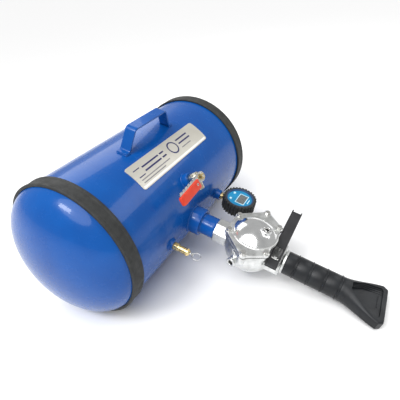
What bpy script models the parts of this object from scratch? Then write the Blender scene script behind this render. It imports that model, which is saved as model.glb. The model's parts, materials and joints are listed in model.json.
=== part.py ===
"""Portable compressed-air tank with a quick-dump valve, hand trigger and fan nozzle.

The tank frame has X along the tank, -Y along the barrel and +Z through the carrying handle.
It is rolled about X until the nozzle lip reaches the floor that the two bumpers stand on.
"""
from math import asin, atan2, cos, degrees, hypot, pi, radians, sin, sqrt

import bmesh
import bpy

MM = 0.001
GAP = 0.3 * MM            # between fixed neighbours
RUN = 0.05 * MM           # radial play of sliding and turning fits

# Pressure vessel
SHELL_RADIUS = 152.4 * MM
SHELL_WALL = 3.0 * MM
TANGENT_X = 245.0 * MM    # where the heads start to curve
HEAD_SKIRT = 9.0 * MM
HEAD_DEPTH_SHARE = 0.5    # 2:1 elliptical heads
TANK_SIDES = 40

# Rubber bumper rings
BUMPER_INBOARD = 19.0 * MM
BUMPER_OUTBOARD = 12.4 * MM
BUMPER_THICKNESS = 4.6 * MM
BUMPER_ROUND = 2.2 * MM

# Carrying handle
HANDLE_X = -7.0 * MM
HANDLE_TOP_HALF = 57.0 * MM
HANDLE_FOOT_HALF = 77.0 * MM
HANDLE_FLANGE = 10.0 * MM
HANDLE_HEIGHT = 50.0 * MM
HANDLE_WIDTH = 25.0 * MM
HANDLE_STRAP = 4.0 * MM

# Nameplate, wrapped round the shell between two angles above the barrel
PLATE_ENDS = (-133.5 * MM, 128.0 * MM)
PLATE_ANGLES = (55.1, 76.7)
PLATE_THICKNESS = 0.8 * MM
PLATE_CORNER = 5.0 * MM

# Ports in the shell
OUTLET_X = -19.0 * MM
GAUGE_X = 99.0 * MM
SAFETY_X = -119.0 * MM
DRAIN_X = 120.0 * MM
INLET_ANGLE = 39.2        # degrees above the barrel
DRAIN_ANGLE = -135.0
BUNG_DEPTH = 10.0 * MM    # below the outside of the shell
BUNG_HEIGHT = 14.0 * MM
SAFETY_BUNG_HEIGHT = 6.0 * MM
SMALL_BUNG_RADIUS = 13.0 * MM
INLET_BUNG_RADIUS = 16.0 * MM
PORT_THREAD_RADIUS = 6.5 * MM
COUPLING_WALL = 7.85 * MM    # round the pipe
COUPLING_HEIGHT = 25.0 * MM

# Outlet pipe, 1 1/2 inch
PIPE_RADIUS = 24.15 * MM
PIPE_BORE = 20.5 * MM
PIPE_ENGAGEMENT = 14.0 * MM
PIPE_SHOWING = 36.0 * MM

# Dump valve: distances along the barrel are from the valve's own axis, heights from the barrel's
VALVE_REACH = 86.0 * MM   # from the end of the inlet neck to the valve axis
NECK_WALL = 4.85 * MM     # round the pipe
BOWL_RADIUS = 58.5 * MM
CHAMBER_RADIUS = 40.0 * MM
FLANGE_CORNERS = ((32.0, 57.0), (82.0, -1.0), (50.0, -45.5))   # mm, the +X half, tank side first
BODY_FLANGE = (26.0 * MM, 34.4 * MM)
GASKET_THICKNESS = 1.0 * MM
COVER_FLANGE = 7.0 * MM
DOME_BASE_RADIUS = 48.5 * MM
DOME_HEIGHT = 19.0 * MM
DOME_WALL = 4.0 * MM
BOLT_INSET = 8.0 * MM
BOLT_RADIUS = 4.0 * MM
BOLT_HEAD_RADIUS = 7.0 * MM
BOLT_HEAD_HEIGHT = 5.0 * MM
SEAT_HEIGHT = 24.0 * MM
TOWER_RADIUS = 25.0 * MM
SEAT_BORE = 16.0 * MM
OUTLET_BORE = 13.0 * MM
OUTLET_DROP = 8.0 * MM
PISTON_RADIUS = 33.9 * MM
PISTON_LIFT = 8.0 * MM
SEAL_THICKNESS = 2.0 * MM
VENT_ANGLE = 15.5         # degrees from -X towards the tank
VENT_RADIUS = 10.5 * MM
VENT_BORE = 5.5 * MM
VENT_REACH = 73.0 * MM
VENT_DROP = 3.0 * MM
COVER_PORT_OFFSET = 22.0 * MM
COVER_PORT_RADIUS = 10.5 * MM
COVER_PLUG_RADIUS = 7.5 * MM

# Trigger block, trigger and barrel
BLOCK_ENDS = (-45.0 * MM, 42.0 * MM)
BLOCK_SPAN = (45.0 * MM, 74.0 * MM)     # from the valve axis
BLOCK_HEIGHTS = (-2.0 * MM, 8.5 * MM)
BLOCK_CORE_HALF = 25.0 * MM
BLOCK_CORE_DEPTH = 24.0 * MM
BLOCK_CORE_END = 77.0 * MM
TRIGGER_CLEARANCE = 46.0 * MM    # the bowl is cut flat here, from the valve axis
TRIGGER_ENDS = (-45.0 * MM, 121.0 * MM)
TRIGGER_WIDTH = 24.0 * MM
TRIGGER_SKIRT = 10.0 * MM
TRIGGER_SHEET = 2.0 * MM
TRIGGER_TOP_AT_NEAR_END = 20.0 * MM
TRIGGER_TILT = 10.0
TRIGGER_TRAVEL = 8.0
TRIGGER_WINDOW = (-28.0 * MM, 6.0 * MM)
TRIGGER_WINDOW_WIDTH = 16.0 * MM
PIVOT_X = -20.0 * MM
PIVOT_HEIGHT = 15.0 * MM
PIVOT_PIN_RADIUS = 2.0 * MM
LUG_WIDTH = 9.0 * MM
PLUNGER_X = 17.0 * MM
PLUNGER_RADIUS = 2.4 * MM
PLUNGER_HOLE_FLOOR = -2.5 * MM
COLLAR_RADIUS = 28.0 * MM
COLLAR_THICKNESS = 4.7 * MM
TUBE_RADIUS = 25.5 * MM
TUBE_WALL = 3.5 * MM
TUBE_LENGTH = 124.0 * MM
GRIP_RING_START = 23.0 * MM
GRIP_RING_PITCH = 31.2 * MM
GRIP_RING_COUNT = 4
GRIP_RING_HEIGHT = 1.3 * MM
NOZZLE_LENGTH = 85.0 * MM
NOZZLE_CORNER = 9.0 * MM
NOZZLE_HALF_WIDTH = 52.0 * MM
NOZZLE_HALF_HEIGHT = 11.5 * MM
NOZZLE_LIP = 5.0 * MM

# Air inlet ball valve
BALL_RADIUS = 9.0 * MM
BALL_PLAY = 0.3 * MM
BALL_BORE = 4.0 * MM
BALL_FLOOR = 3.2 * MM     # metal below, above and beside the ball
BALL_ROOF = 1.7 * MM
BALL_SIDE = 3.2 * MM
VALVE_STEM_RADIUS = 3.0 * MM
INLET_BODY_STAND = 0.6 * MM       # above the bung
INLET_PORT_LENGTH = 14.5 * MM     # beyond the body
INLET_PORT_RADIUS = 10.0 * MM
INLET_PORT_THREAD = 6.6 * MM
LEVER_LENGTH = 92.0 * MM
LEVER_WIDTH = 15.0 * MM
LEVER_SHEET = 2.2 * MM
LEVER_TURN = 3.0           # degrees from the tank's length when closed
LEVER_EDGE = 10.5 * MM     # toothed edge beside the grip
LEVER_TEETH = 7
LEVER_TOOTH = 2.5 * MM
GRIP_START = 18.0 * MM
GRIP_WIDTH = 21.0 * MM
GRIP_THICKNESS = 8.0 * MM
GRIP_SHIFT = 6.0 * MM      # off the strap's middle, away from the teeth

# Safety valve
RELIEF_STAND = 1.6 * MM           # above the bung
RELIEF_BODY_LENGTH = 30.0 * MM
RELIEF_BODY_RADIUS = 7.5 * MM
RELIEF_CHAMBER = 5.6 * MM
RELIEF_CAP_LENGTH = 7.5 * MM
RELIEF_ROD_RADIUS = 1.6 * MM
RELIEF_EYE_REACH = 14.0 * MM      # beyond the body
RING_RADIUS = 9.5 * MM
RING_WIRE = 0.9 * MM

# Digital gauge
GAUGE_STEM_LENGTH = 27.8 * MM      # from the shell to the case
GAUGE_MID_HEIGHT = 7.0 * MM
GAUGE_CASE_RADIUS = 35.0 * MM
GAUGE_HALF_CASE = (-15.5 * MM, 12.0 * MM)
GAUGE_RIM = 3.0 * MM
GAUGE_RECESS = 5.0 * MM
BOOT_WALL = 3.7 * MM
BOOT_TOOTH = 3.0 * MM
BOOT_TEETH = 30
FACE_THICKNESS = 1.5 * MM
DISPLAY_SIZE = (35.0 * MM, 20.5 * MM)
DISPLAY_OFFSET = 6.0 * MM
BUTTON_X = 12.8 * MM
BUTTON_OFFSET = 19.5 * MM
BUTTON_RADIUS = 3.4 * MM
BUTTON_TRAVEL = 0.8 * MM


# ---------------------------------------------------------------- helpers

def material(name, colour, roughness, metallic=0.0):
    finish = bpy.data.materials.new(name)
    finish.use_nodes = True
    shader = finish.node_tree.nodes["Principled BSDF"]
    shader.inputs["Base Color"].default_value = (*colour, 1.0)
    shader.inputs["Roughness"].default_value = roughness
    shader.inputs["Metallic"].default_value = metallic
    finish.diffuse_color = (*colour, 1.0)
    return finish


def link(obj, parent, location, rotation):
    bpy.context.scene.collection.objects.link(obj)
    obj.parent = parent
    obj.location = location
    obj.rotation_euler = [radians(angle) for angle in rotation]
    return obj


def frame(name, parent=None, location=(0, 0, 0), rotation=(0, 0, 0)):
    return link(bpy.data.objects.new(name, None), parent, location, rotation)


def piece(name, shape, finish, parent, location=(0, 0, 0), rotation=(0, 0, 0)):
    """An object from a bmesh. Without a finish it is a cutter or another helper."""
    bmesh.ops.recalc_face_normals(shape, faces=shape.faces)
    mesh = bpy.data.meshes.new(name)
    shape.to_mesh(mesh)
    shape.free()
    mesh.shade_smooth()
    mesh.set_sharp_from_angle(angle=radians(32))
    obj = link(bpy.data.objects.new(name, mesh), parent, location, rotation)
    if finish:
        mesh.materials.append(finish)
    else:
        obj.hide_render = True
        obj.display_type = "WIRE"
    return obj


def boolean(obj, operation, *others):
    for other in others:
        modifier = obj.modifiers.new(f"{operation} {other.name}", "BOOLEAN")
        modifier.operation = operation
        modifier.solver = "EXACT"
        modifier.object = other


def turned(profile, sides=24, start=0.0):
    """A solid of revolution about Z from a closed outline of (radius, height) points."""
    shape = bmesh.new()
    rings = []
    for radius, height in profile:
        angles = [start + 2 * pi * i / sides for i in range(sides)] if radius else [0.0]
        rings.append([shape.verts.new((radius * cos(a), radius * sin(a), height)) for a in angles])
    for low, high in zip(rings, rings[1:] + rings[:1]):
        if len(low) == len(high) == 1:
            continue
        for i in range(sides):
            j = (i + 1) % sides
            corners = (low[i % len(low)], low[j % len(low)], high[j % len(high)], high[i % len(high)])
            shape.faces.new(list(dict.fromkeys(corners)))
    return shape


def rod(radius, low, high, sides=24, start=0.0):
    return turned([(0, low), (radius, low), (radius, high), (0, high)], sides, start)


def ring(bore, radius, low, high, sides=24, start=0.0):
    return turned([(bore, low), (radius, low), (radius, high), (bore, high)], sides, start)


def extruded(outline, low, high):
    """A prism along Z over an outline of (x, y) points."""
    shape = bmesh.new()
    floor = [shape.verts.new((x, y, low)) for x, y in outline]
    roof = [shape.verts.new((x, y, high)) for x, y in outline]
    shape.faces.new(floor[::-1])
    shape.faces.new(roof)
    for i in range(len(outline)):
        j = (i + 1) % len(outline)
        shape.faces.new((floor[i], floor[j], roof[j], roof[i]))
    return shape


def box(x, y, z):
    """A block between the ends given along each axis."""
    return extruded([(x[0], y[0]), (x[1], y[0]), (x[1], y[1]), (x[0], y[1])], *z)


def polygon(radius, sides, start=0.0):
    return [(radius * cos(start + 2 * pi * i / sides), radius * sin(start + 2 * pi * i / sides))
            for i in range(sides)]


def arc(radius, first, last, steps, centre=(0.0, 0.0)):
    """Points of an arc between two angles in degrees, as (radius, height) pairs."""
    angles = [radians(first + (last - first) * i / steps) for i in range(steps + 1)]
    return [(centre[0] + radius * cos(a), centre[1] + radius * sin(a)) for a in angles]


def drilled_prism(outline, hole, low, high, sides):
    """A prism along Z with a round hole through it."""
    shape = bmesh.new()
    levels = []
    for height in (low, high):
        outer = [shape.verts.new((x, y, height)) for x, y in outline]
        inner = [shape.verts.new((x, y, height)) for x, y in polygon(hole, sides)]
        edges = [shape.edges.new((loop[i], loop[(i + 1) % len(loop)]))
                 for loop in (outer, inner) for i in range(len(loop))]
        bmesh.ops.triangle_fill(shape, edges=edges, use_dissolve=False)
        levels.append((outer, inner))
    for low_loop, high_loop in zip(*levels):
        for i in range(len(low_loop)):
            j = (i + 1) % len(low_loop)
            shape.faces.new((low_loop[i], low_loop[j], high_loop[j], high_loop[i]))
    return shape


def coil(name, finish, parent, radius, wire, low, high, turns, location=(0, 0, 0), rotation=(0, 0, 0)):
    """A helical spring along Z, as a curve with a round section."""
    curve = bpy.data.curves.new(name, "CURVE")
    curve.dimensions = "3D"
    curve.bevel_depth = wire
    curve.bevel_resolution = 0
    curve.use_fill_caps = True
    curve.materials.append(finish)
    spline = curve.splines.new("POLY")
    steps = int(turns * 10)
    spline.points.add(steps)
    for i, point in enumerate(spline.points):
        angle = 2 * pi * turns * i / steps
        height = low + wire + (high - low - 2 * wire) * i / steps
        point.co = (radius * cos(angle), radius * sin(angle), height, 1.0)
    return link(bpy.data.objects.new(name, curve), parent, location, rotation)


def lofted(sections):
    """A closed solid through rings of points that all have the same count."""
    shape = bmesh.new()
    rings = [[shape.verts.new(point) for point in section] for section in sections]
    for low, high in zip(rings, rings[1:] + rings[:1]):
        for i in range(len(low)):
            j = (i + 1) % len(low)
            shape.faces.new((low[i], low[j], high[j], high[i]))
    return shape


# ---------------------------------------------------------------- derived sizes

BUMPER_BORE = (SHELL_RADIUS + GAP) / cos(pi / TANK_SIDES)
BUMPER_RADIUS = BUMPER_BORE + BUMPER_THICKNESS
AXIS_HEIGHT = BUMPER_RADIUS * cos(pi / TANK_SIDES)
COUPLING_END = SHELL_RADIUS + COUPLING_HEIGHT
NECK_END = COUPLING_END + PIPE_SHOWING
VALVE_S = NECK_END + VALVE_REACH
COUPLING_RADIUS = PIPE_RADIUS + COUPLING_WALL
NECK_RADIUS = PIPE_RADIUS + NECK_WALL
GASKET_LOW = BODY_FLANGE[1] + GAP
COVER_LOW = GASKET_LOW + GASKET_THICKNESS + GAP
COVER_TOP = COVER_LOW + COVER_FLANGE
TRIGGER_S = VALVE_S + (BLOCK_SPAN[0] + BLOCK_SPAN[1]) / 2
COLLAR_S = VALVE_S + BLOCK_CORE_END + GAP
TUBE_S = COLLAR_S + COLLAR_THICKNESS + GAP
MOUTH_S = TUBE_S + TUBE_LENGTH + NOZZLE_LENGTH
BALL_SPACE = BALL_RADIUS + BALL_PLAY
INLET_BODY_RADIUS = BALL_SPACE + BALL_SIDE
INLET_BODY_FOOT = SHELL_RADIUS + BUNG_HEIGHT + INLET_BODY_STAND
INLET_BODY_HEIGHT = BALL_FLOOR + 2 * BALL_SPACE + BALL_ROOF
INLET_PORT_REACH = INLET_BODY_RADIUS + INLET_PORT_LENGTH
BALL_HEIGHT = INLET_BODY_FOOT + BALL_FLOOR + BALL_SPACE
RELIEF_FOOT = SHELL_RADIUS + SAFETY_BUNG_HEIGHT + RELIEF_STAND
RELIEF_TOP = RELIEF_FOOT + RELIEF_BODY_LENGTH
RELIEF_EYE = RELIEF_TOP + RELIEF_EYE_REACH
STEM_END = SHELL_RADIUS + GAUGE_STEM_LENGTH
GAUGE_REACH = STEM_END + 1 * MM + GAP + GAUGE_CASE_RADIUS
REST_ROLL = asin(AXIS_HEIGHT / hypot(MOUTH_S, NOZZLE_HALF_HEIGHT)) - atan2(NOZZLE_HALF_HEIGHT, MOUTH_S)
AXIS_Y = (MOUTH_S * cos(REST_ROLL) + NOZZLE_HALF_HEIGHT * sin(REST_ROLL) - AXIS_HEIGHT) / 2


def head_radius(outboard):
    """Radius of the outside of a head, this far beyond its tangent line."""
    return SHELL_RADIUS * sqrt(1 - (outboard / (SHELL_RADIUS * HEAD_DEPTH_SHARE)) ** 2)


# ---------------------------------------------------------------- tank

def make_shell(tank, blue):
    half = TANGENT_X - HEAD_SKIRT - GAP
    shell = piece("tank_shell", ring(SHELL_RADIUS - SHELL_WALL, SHELL_RADIUS, -half, half, TANK_SIDES),
                  blue, tank, rotation=(0, 90, 0))
    holes = (
        ("outlet", OUTLET_X, 0.0, COUPLING_RADIUS), ("inlet", OUTLET_X, INLET_ANGLE, INLET_BUNG_RADIUS),
        ("gauge", GAUGE_X, 0.0, SMALL_BUNG_RADIUS), ("safety", SAFETY_X, 0.0, SMALL_BUNG_RADIUS),
        ("drain", DRAIN_X, DRAIN_ANGLE, SMALL_BUNG_RADIUS),
    )
    for name, x, angle, radius in holes:
        cutter = piece(f"{name}_hole", rod(radius + GAP, SHELL_RADIUS * 0.8, SHELL_RADIUS * 1.2),
                       None, tank, (x, 0, 0), (90 - angle, 0, 0))
        boolean(shell, "DIFFERENCE", cutter)


def make_head(name, tank, blue, side):
    inner = SHELL_RADIUS - SHELL_WALL
    inner_depth = SHELL_RADIUS * HEAD_DEPTH_SHARE - SHELL_WALL
    outside = [(SHELL_RADIUS, -HEAD_SKIRT)]
    outside += [(SHELL_RADIUS * x, SHELL_RADIUS * HEAD_DEPTH_SHARE * y) for x, y in arc(1, 0, 80, 6)]
    outside += [(0, SHELL_RADIUS * HEAD_DEPTH_SHARE)]
    inside = [(0, inner_depth)]
    inside += [(inner * x, inner_depth * y) for x, y in arc(1, 76, 0, 4)]
    inside += [(inner, -HEAD_SKIRT)]
    piece(name, turned(outside + inside, TANK_SIDES), blue, tank,
          (side * TANGENT_X, 0, 0), (0, side * 90, 0))


def make_bumper(name, floor, rubber, side):
    """The rings keep level with the floor, so that a flat of each one rests on it."""
    inboard, outboard = -BUMPER_INBOARD, BUMPER_OUTBOARD
    profile = [(BUMPER_BORE, inboard), (BUMPER_RADIUS - BUMPER_ROUND, inboard),
               (BUMPER_RADIUS, inboard + BUMPER_ROUND), (BUMPER_RADIUS, outboard - BUMPER_ROUND),
               (BUMPER_RADIUS - BUMPER_ROUND, outboard)]
    for share in (1.0, 0.66, 0.33, 0.0):
        play = BUMPER_BORE - SHELL_RADIUS
        profile.append((head_radius(share * outboard) + play, share * outboard))
    piece(name, turned(profile, TANK_SIDES, pi / TANK_SIDES), rubber, floor,
          (side * TANGENT_X, 0, 0), (0, side * 90, 0))


def make_handle(tank, blue):
    """A bent strap: outline of its path offset by its thickness, then extruded across."""
    foot, top = SHELL_RADIUS + GAP, SHELL_RADIUS + HANDLE_HEIGHT
    slope = atan2(top - foot, HANDLE_FOOT_HALF - HANDLE_TOP_HALF)
    shift = HANDLE_STRAP / sin(slope)
    bend = HANDLE_STRAP * (1 / sin(slope) - 1 / (sin(slope) / cos(slope)))
    end = HANDLE_FOOT_HALF + HANDLE_FLANGE
    right = [(end, foot), (end, foot + HANDLE_STRAP),
             (HANDLE_FOOT_HALF - HANDLE_STRAP * cos(slope) / sin(slope), foot + HANDLE_STRAP),
             (HANDLE_TOP_HALF, top), ]
    under = [(-HANDLE_TOP_HALF + bend, top - HANDLE_STRAP), (-HANDLE_FOOT_HALF + shift, foot)]
    outline = right + [(-x, z) for x, z in right[::-1]]
    outline += [under[1], under[0], (-under[0][0], under[0][1]), (-under[1][0], under[1][1])]
    half = HANDLE_WIDTH / 2
    piece("carry_handle", extruded(outline, -half, half), blue, tank, (HANDLE_X, 0, 0), (90, 0, 0))


def make_nameplate(tank, plate):
    """A thin sheet following the shell, its corners rounded."""
    middle = (PLATE_ENDS[0] + PLATE_ENDS[1]) / 2
    half = (PLATE_ENDS[1] - PLATE_ENDS[0]) / 2
    low = (SHELL_RADIUS + GAP)
    high = low + PLATE_THICKNESS
    span = radians(PLATE_ANGLES[1] - PLATE_ANGLES[0]) * low / 2
    corner = [PLATE_CORNER * share for share in (0.0, 0.3, 1.0)]
    across = [-span + d for d in corner] + [-span / 3, span / 3] + [span - d for d in corner[::-1]]
    centre = radians(sum(PLATE_ANGLES) / 2)
    sections = []
    for y in across:
        depth = min(PLATE_CORNER, max(0.0, abs(y) - (span - PLATE_CORNER)))
        end = half - PLATE_CORNER + sqrt(PLATE_CORNER ** 2 - depth ** 2)
        angle = centre + y / low
        section = []
        for x, radius in ((-end, low), (end, low), (end, high), (-end, high)):
            section.append((middle + x, -radius * cos(angle), radius * sin(angle)))
        sections.append(section)
    shape = bmesh.new()
    rings = [[shape.verts.new(point) for point in section] for section in sections]
    for first, second in zip(rings, rings[1:]):
        for i in range(4):
            j = (i + 1) % 4
            shape.faces.new((first[i], first[j], second[j], second[i]))
    shape.faces.new(rings[0][::-1])
    shape.faces.new(rings[-1])
    piece("nameplate", shape, plate, tank)


def make_bungs(tank, blue, brass):
    """Weld-in threaded rings, each standing in its own hole."""
    low = SHELL_RADIUS - BUNG_DEPTH
    bore = PORT_THREAD_RADIUS + GAP
    ports = (("inlet_bung", OUTLET_X, INLET_ANGLE, INLET_BUNG_RADIUS, BUNG_HEIGHT),
             ("gauge_bung", GAUGE_X, 0.0, SMALL_BUNG_RADIUS, BUNG_HEIGHT),
             ("safety_bung", SAFETY_X, 0.0, SMALL_BUNG_RADIUS, SAFETY_BUNG_HEIGHT))
    for name, x, angle, radius, height in ports:
        high = SHELL_RADIUS + height
        profile = [(bore, low), (radius, low), (radius, high - 1 * MM), (radius - 1 * MM, high), (bore, high)]
        piece(name, turned(profile, 24), blue, tank, (x, 0, 0), (90 - angle, 0, 0))
    turn = (90 - DRAIN_ANGLE, 0, 0)
    flush = SHELL_RADIUS + 2 * MM
    piece("drain_bung", ring(bore, SMALL_BUNG_RADIUS, low, flush), blue, tank, (DRAIN_X, 0, 0), turn)
    plug = piece("drain_plug", rod(PORT_THREAD_RADIUS, low, flush - 1 * MM), brass, tank, (DRAIN_X, 0, 0), turn)
    key = extruded(polygon(PORT_THREAD_RADIUS * 0.55, 6), flush - 6 * MM, flush + 2 * MM)
    boolean(plug, "DIFFERENCE", piece("drain_key", key, None, tank, (DRAIN_X, 0, 0), turn))


def make_outlet_pipe(outlet, blue):
    """A weld-in coupling and the pipe nipple that carries the dump valve."""
    low = SHELL_RADIUS - BUNG_DEPTH
    socket = COUPLING_END - PIPE_ENGAGEMENT
    profile = [(PIPE_BORE, low), (COUPLING_RADIUS, low), (COUPLING_RADIUS, COUPLING_END - 1.5 * MM),
               (COUPLING_RADIUS - 1.5 * MM, COUPLING_END), (PIPE_RADIUS + GAP, COUPLING_END),
               (PIPE_RADIUS + GAP, socket), (PIPE_BORE, socket)]
    piece("outlet_coupling", turned(profile, 24), blue, outlet)
    nipple = ring(PIPE_BORE, PIPE_RADIUS, socket + GAP, NECK_END + PIPE_ENGAGEMENT - GAP, 24)
    piece("outlet_nipple", nipple, blue, outlet)


# ---------------------------------------------------------------- dump valve

def flange_outline():
    half = [(x * MM, y * MM) for x, y in FLANGE_CORNERS]
    return half + [(-x, y) for x, y in half[::-1]]


def bolt_places():
    places = []
    for x, y in flange_outline():
        share = 1 - BOLT_INSET / hypot(x, y)
        places.append((x * share, y * share))
    return places


def make_valve_body(valve, outlet, cast):
    low, high = BODY_FLANGE
    bowl = [(0, -BOWL_RADIUS)] + arc(BOWL_RADIUS, -75, 0, 5) + [(BOWL_RADIUS, high - 3 * MM), (0, high - 3 * MM)]
    body = piece("valve_body", turned(bowl, 24), cast, valve)
    neck = piece("inlet_neck", rod(NECK_RADIUS, NECK_END, VALVE_S - TOWER_RADIUS - 5 * MM, 24), None, outlet)
    flange = piece("body_flange", extruded(flange_outline(), low, high), None, valve)
    near, far = -BLOCK_SPAN[1], -BLOCK_SPAN[0]
    bar_top = BLOCK_HEIGHTS[1] + 1 * MM       # the clearance for the trigger takes this back
    bar = piece("trigger_bar", box(BLOCK_ENDS, (near, far), (BLOCK_HEIGHTS[0], bar_top)), None, valve)
    core_low = -BLOCK_CORE_DEPTH
    core_shape = box((-BLOCK_CORE_HALF, BLOCK_CORE_HALF), (-BLOCK_CORE_END, far + 3 * MM),
                     (core_low, BLOCK_HEIGHTS[1] - 1 * MM))
    core = piece("trigger_block_core", core_shape, None, valve)
    lug_half = LUG_WIDTH / 2
    lug_y = -(BLOCK_SPAN[0] + BLOCK_SPAN[1]) / 2
    lug_shape = box((PIVOT_X - lug_half, PIVOT_X + lug_half), (lug_y - lug_half, lug_y + lug_half),
                    (BLOCK_HEIGHTS[0] + 1 * MM, PIVOT_HEIGHT + 3.5 * MM))
    lug = piece("pivot_lug", lug_shape, None, valve)
    vent_turn = (0, -90, -VENT_ANGLE)
    vent = piece("vent_boss", rod(VENT_RADIUS, CHAMBER_RADIUS + 3 * MM, VENT_REACH, 20), None, valve,
                 (0, 0, -VENT_DROP), vent_turn)
    boolean(body, "UNION", neck, flange, bar, core, vent)
    relief_shape = box((2 * BLOCK_ENDS[0], 2 * BLOCK_ENDS[1]), (near - 5 * MM, -TRIGGER_CLEARANCE),
                       (BLOCK_HEIGHTS[1], high + 5 * MM))
    boolean(body, "DIFFERENCE", piece("trigger_relief", relief_shape, None, valve))
    boolean(body, "UNION", lug)

    inner = CHAMBER_RADIUS
    floor_angle = degrees(atan2(-sqrt(inner ** 2 - TOWER_RADIUS ** 2), TOWER_RADIUS))
    chamber_shape = [(0, high + 5 * MM), (0, SEAT_HEIGHT), (TOWER_RADIUS, SEAT_HEIGHT)]
    chamber_shape += arc(inner, floor_angle, 0, 5) + [(inner, high + 5 * MM)]
    chamber = piece("inlet_chamber", turned(chamber_shape, 24), None, valve)
    duct = rod(OUTLET_BORE + 4 * MM, VALVE_S, VALVE_S + BOWL_RADIUS, 24)
    boolean(chamber, "DIFFERENCE", piece("outlet_duct", duct, None, outlet, (0, -OUTLET_DROP, 0)))
    outlet_bore = piece("outlet_bore", rod(OUTLET_BORE, VALVE_S, VALVE_S + BLOCK_CORE_END + 5 * MM, 24),
                        None, outlet, (0, -OUTLET_DROP, 0))
    seat_bore = piece("seat_bore", rod(SEAT_BORE, -OUTLET_DROP - 4 * MM, SEAT_HEIGHT + 5 * MM, 24), None, valve)
    socket_end = NECK_END + PIPE_ENGAGEMENT
    neck_bore = [(0, NECK_END - 5 * MM), (PIPE_RADIUS + GAP, NECK_END - 5 * MM), (PIPE_RADIUS + GAP, socket_end),
                 (PIPE_BORE, socket_end), (PIPE_BORE, VALVE_S - TOWER_RADIUS - 9 * MM),
                 (0, VALVE_S - TOWER_RADIUS - 9 * MM)]
    neck_hole = piece("neck_hole", turned(neck_bore, 24), None, outlet)
    vent_hole = piece("vent_hole", rod(VENT_BORE, inner - 6 * MM, VENT_REACH + 5 * MM, 12), None, valve,
                      (0, 0, -VENT_DROP), vent_turn)
    pin_hole = piece("pin_hole", rod(PIVOT_PIN_RADIUS + GAP, -LUG_WIDTH, LUG_WIDTH, 12), None, valve,
                     (PIVOT_X, lug_y, PIVOT_HEIGHT), (90, 0, 0))
    plunger_hole = piece("plunger_hole", rod(PLUNGER_RADIUS + RUN, PLUNGER_HOLE_FLOOR, BLOCK_HEIGHTS[1] + 5 * MM, 12),
                         None, valve, (PLUNGER_X, lug_y, 0))
    boolean(body, "DIFFERENCE", chamber, outlet_bore, seat_bore, neck_hole, vent_hole, pin_hole, plunger_hole)
    for number, (x, y) in enumerate(bolt_places(), 1):
        hole = rod(BOLT_RADIUS + GAP, low - 8 * MM, high + 5 * MM, 12)
        boolean(body, "DIFFERENCE", piece(f"tapped_hole_{number}", hole, None, valve, (x, y, 0)))


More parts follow.
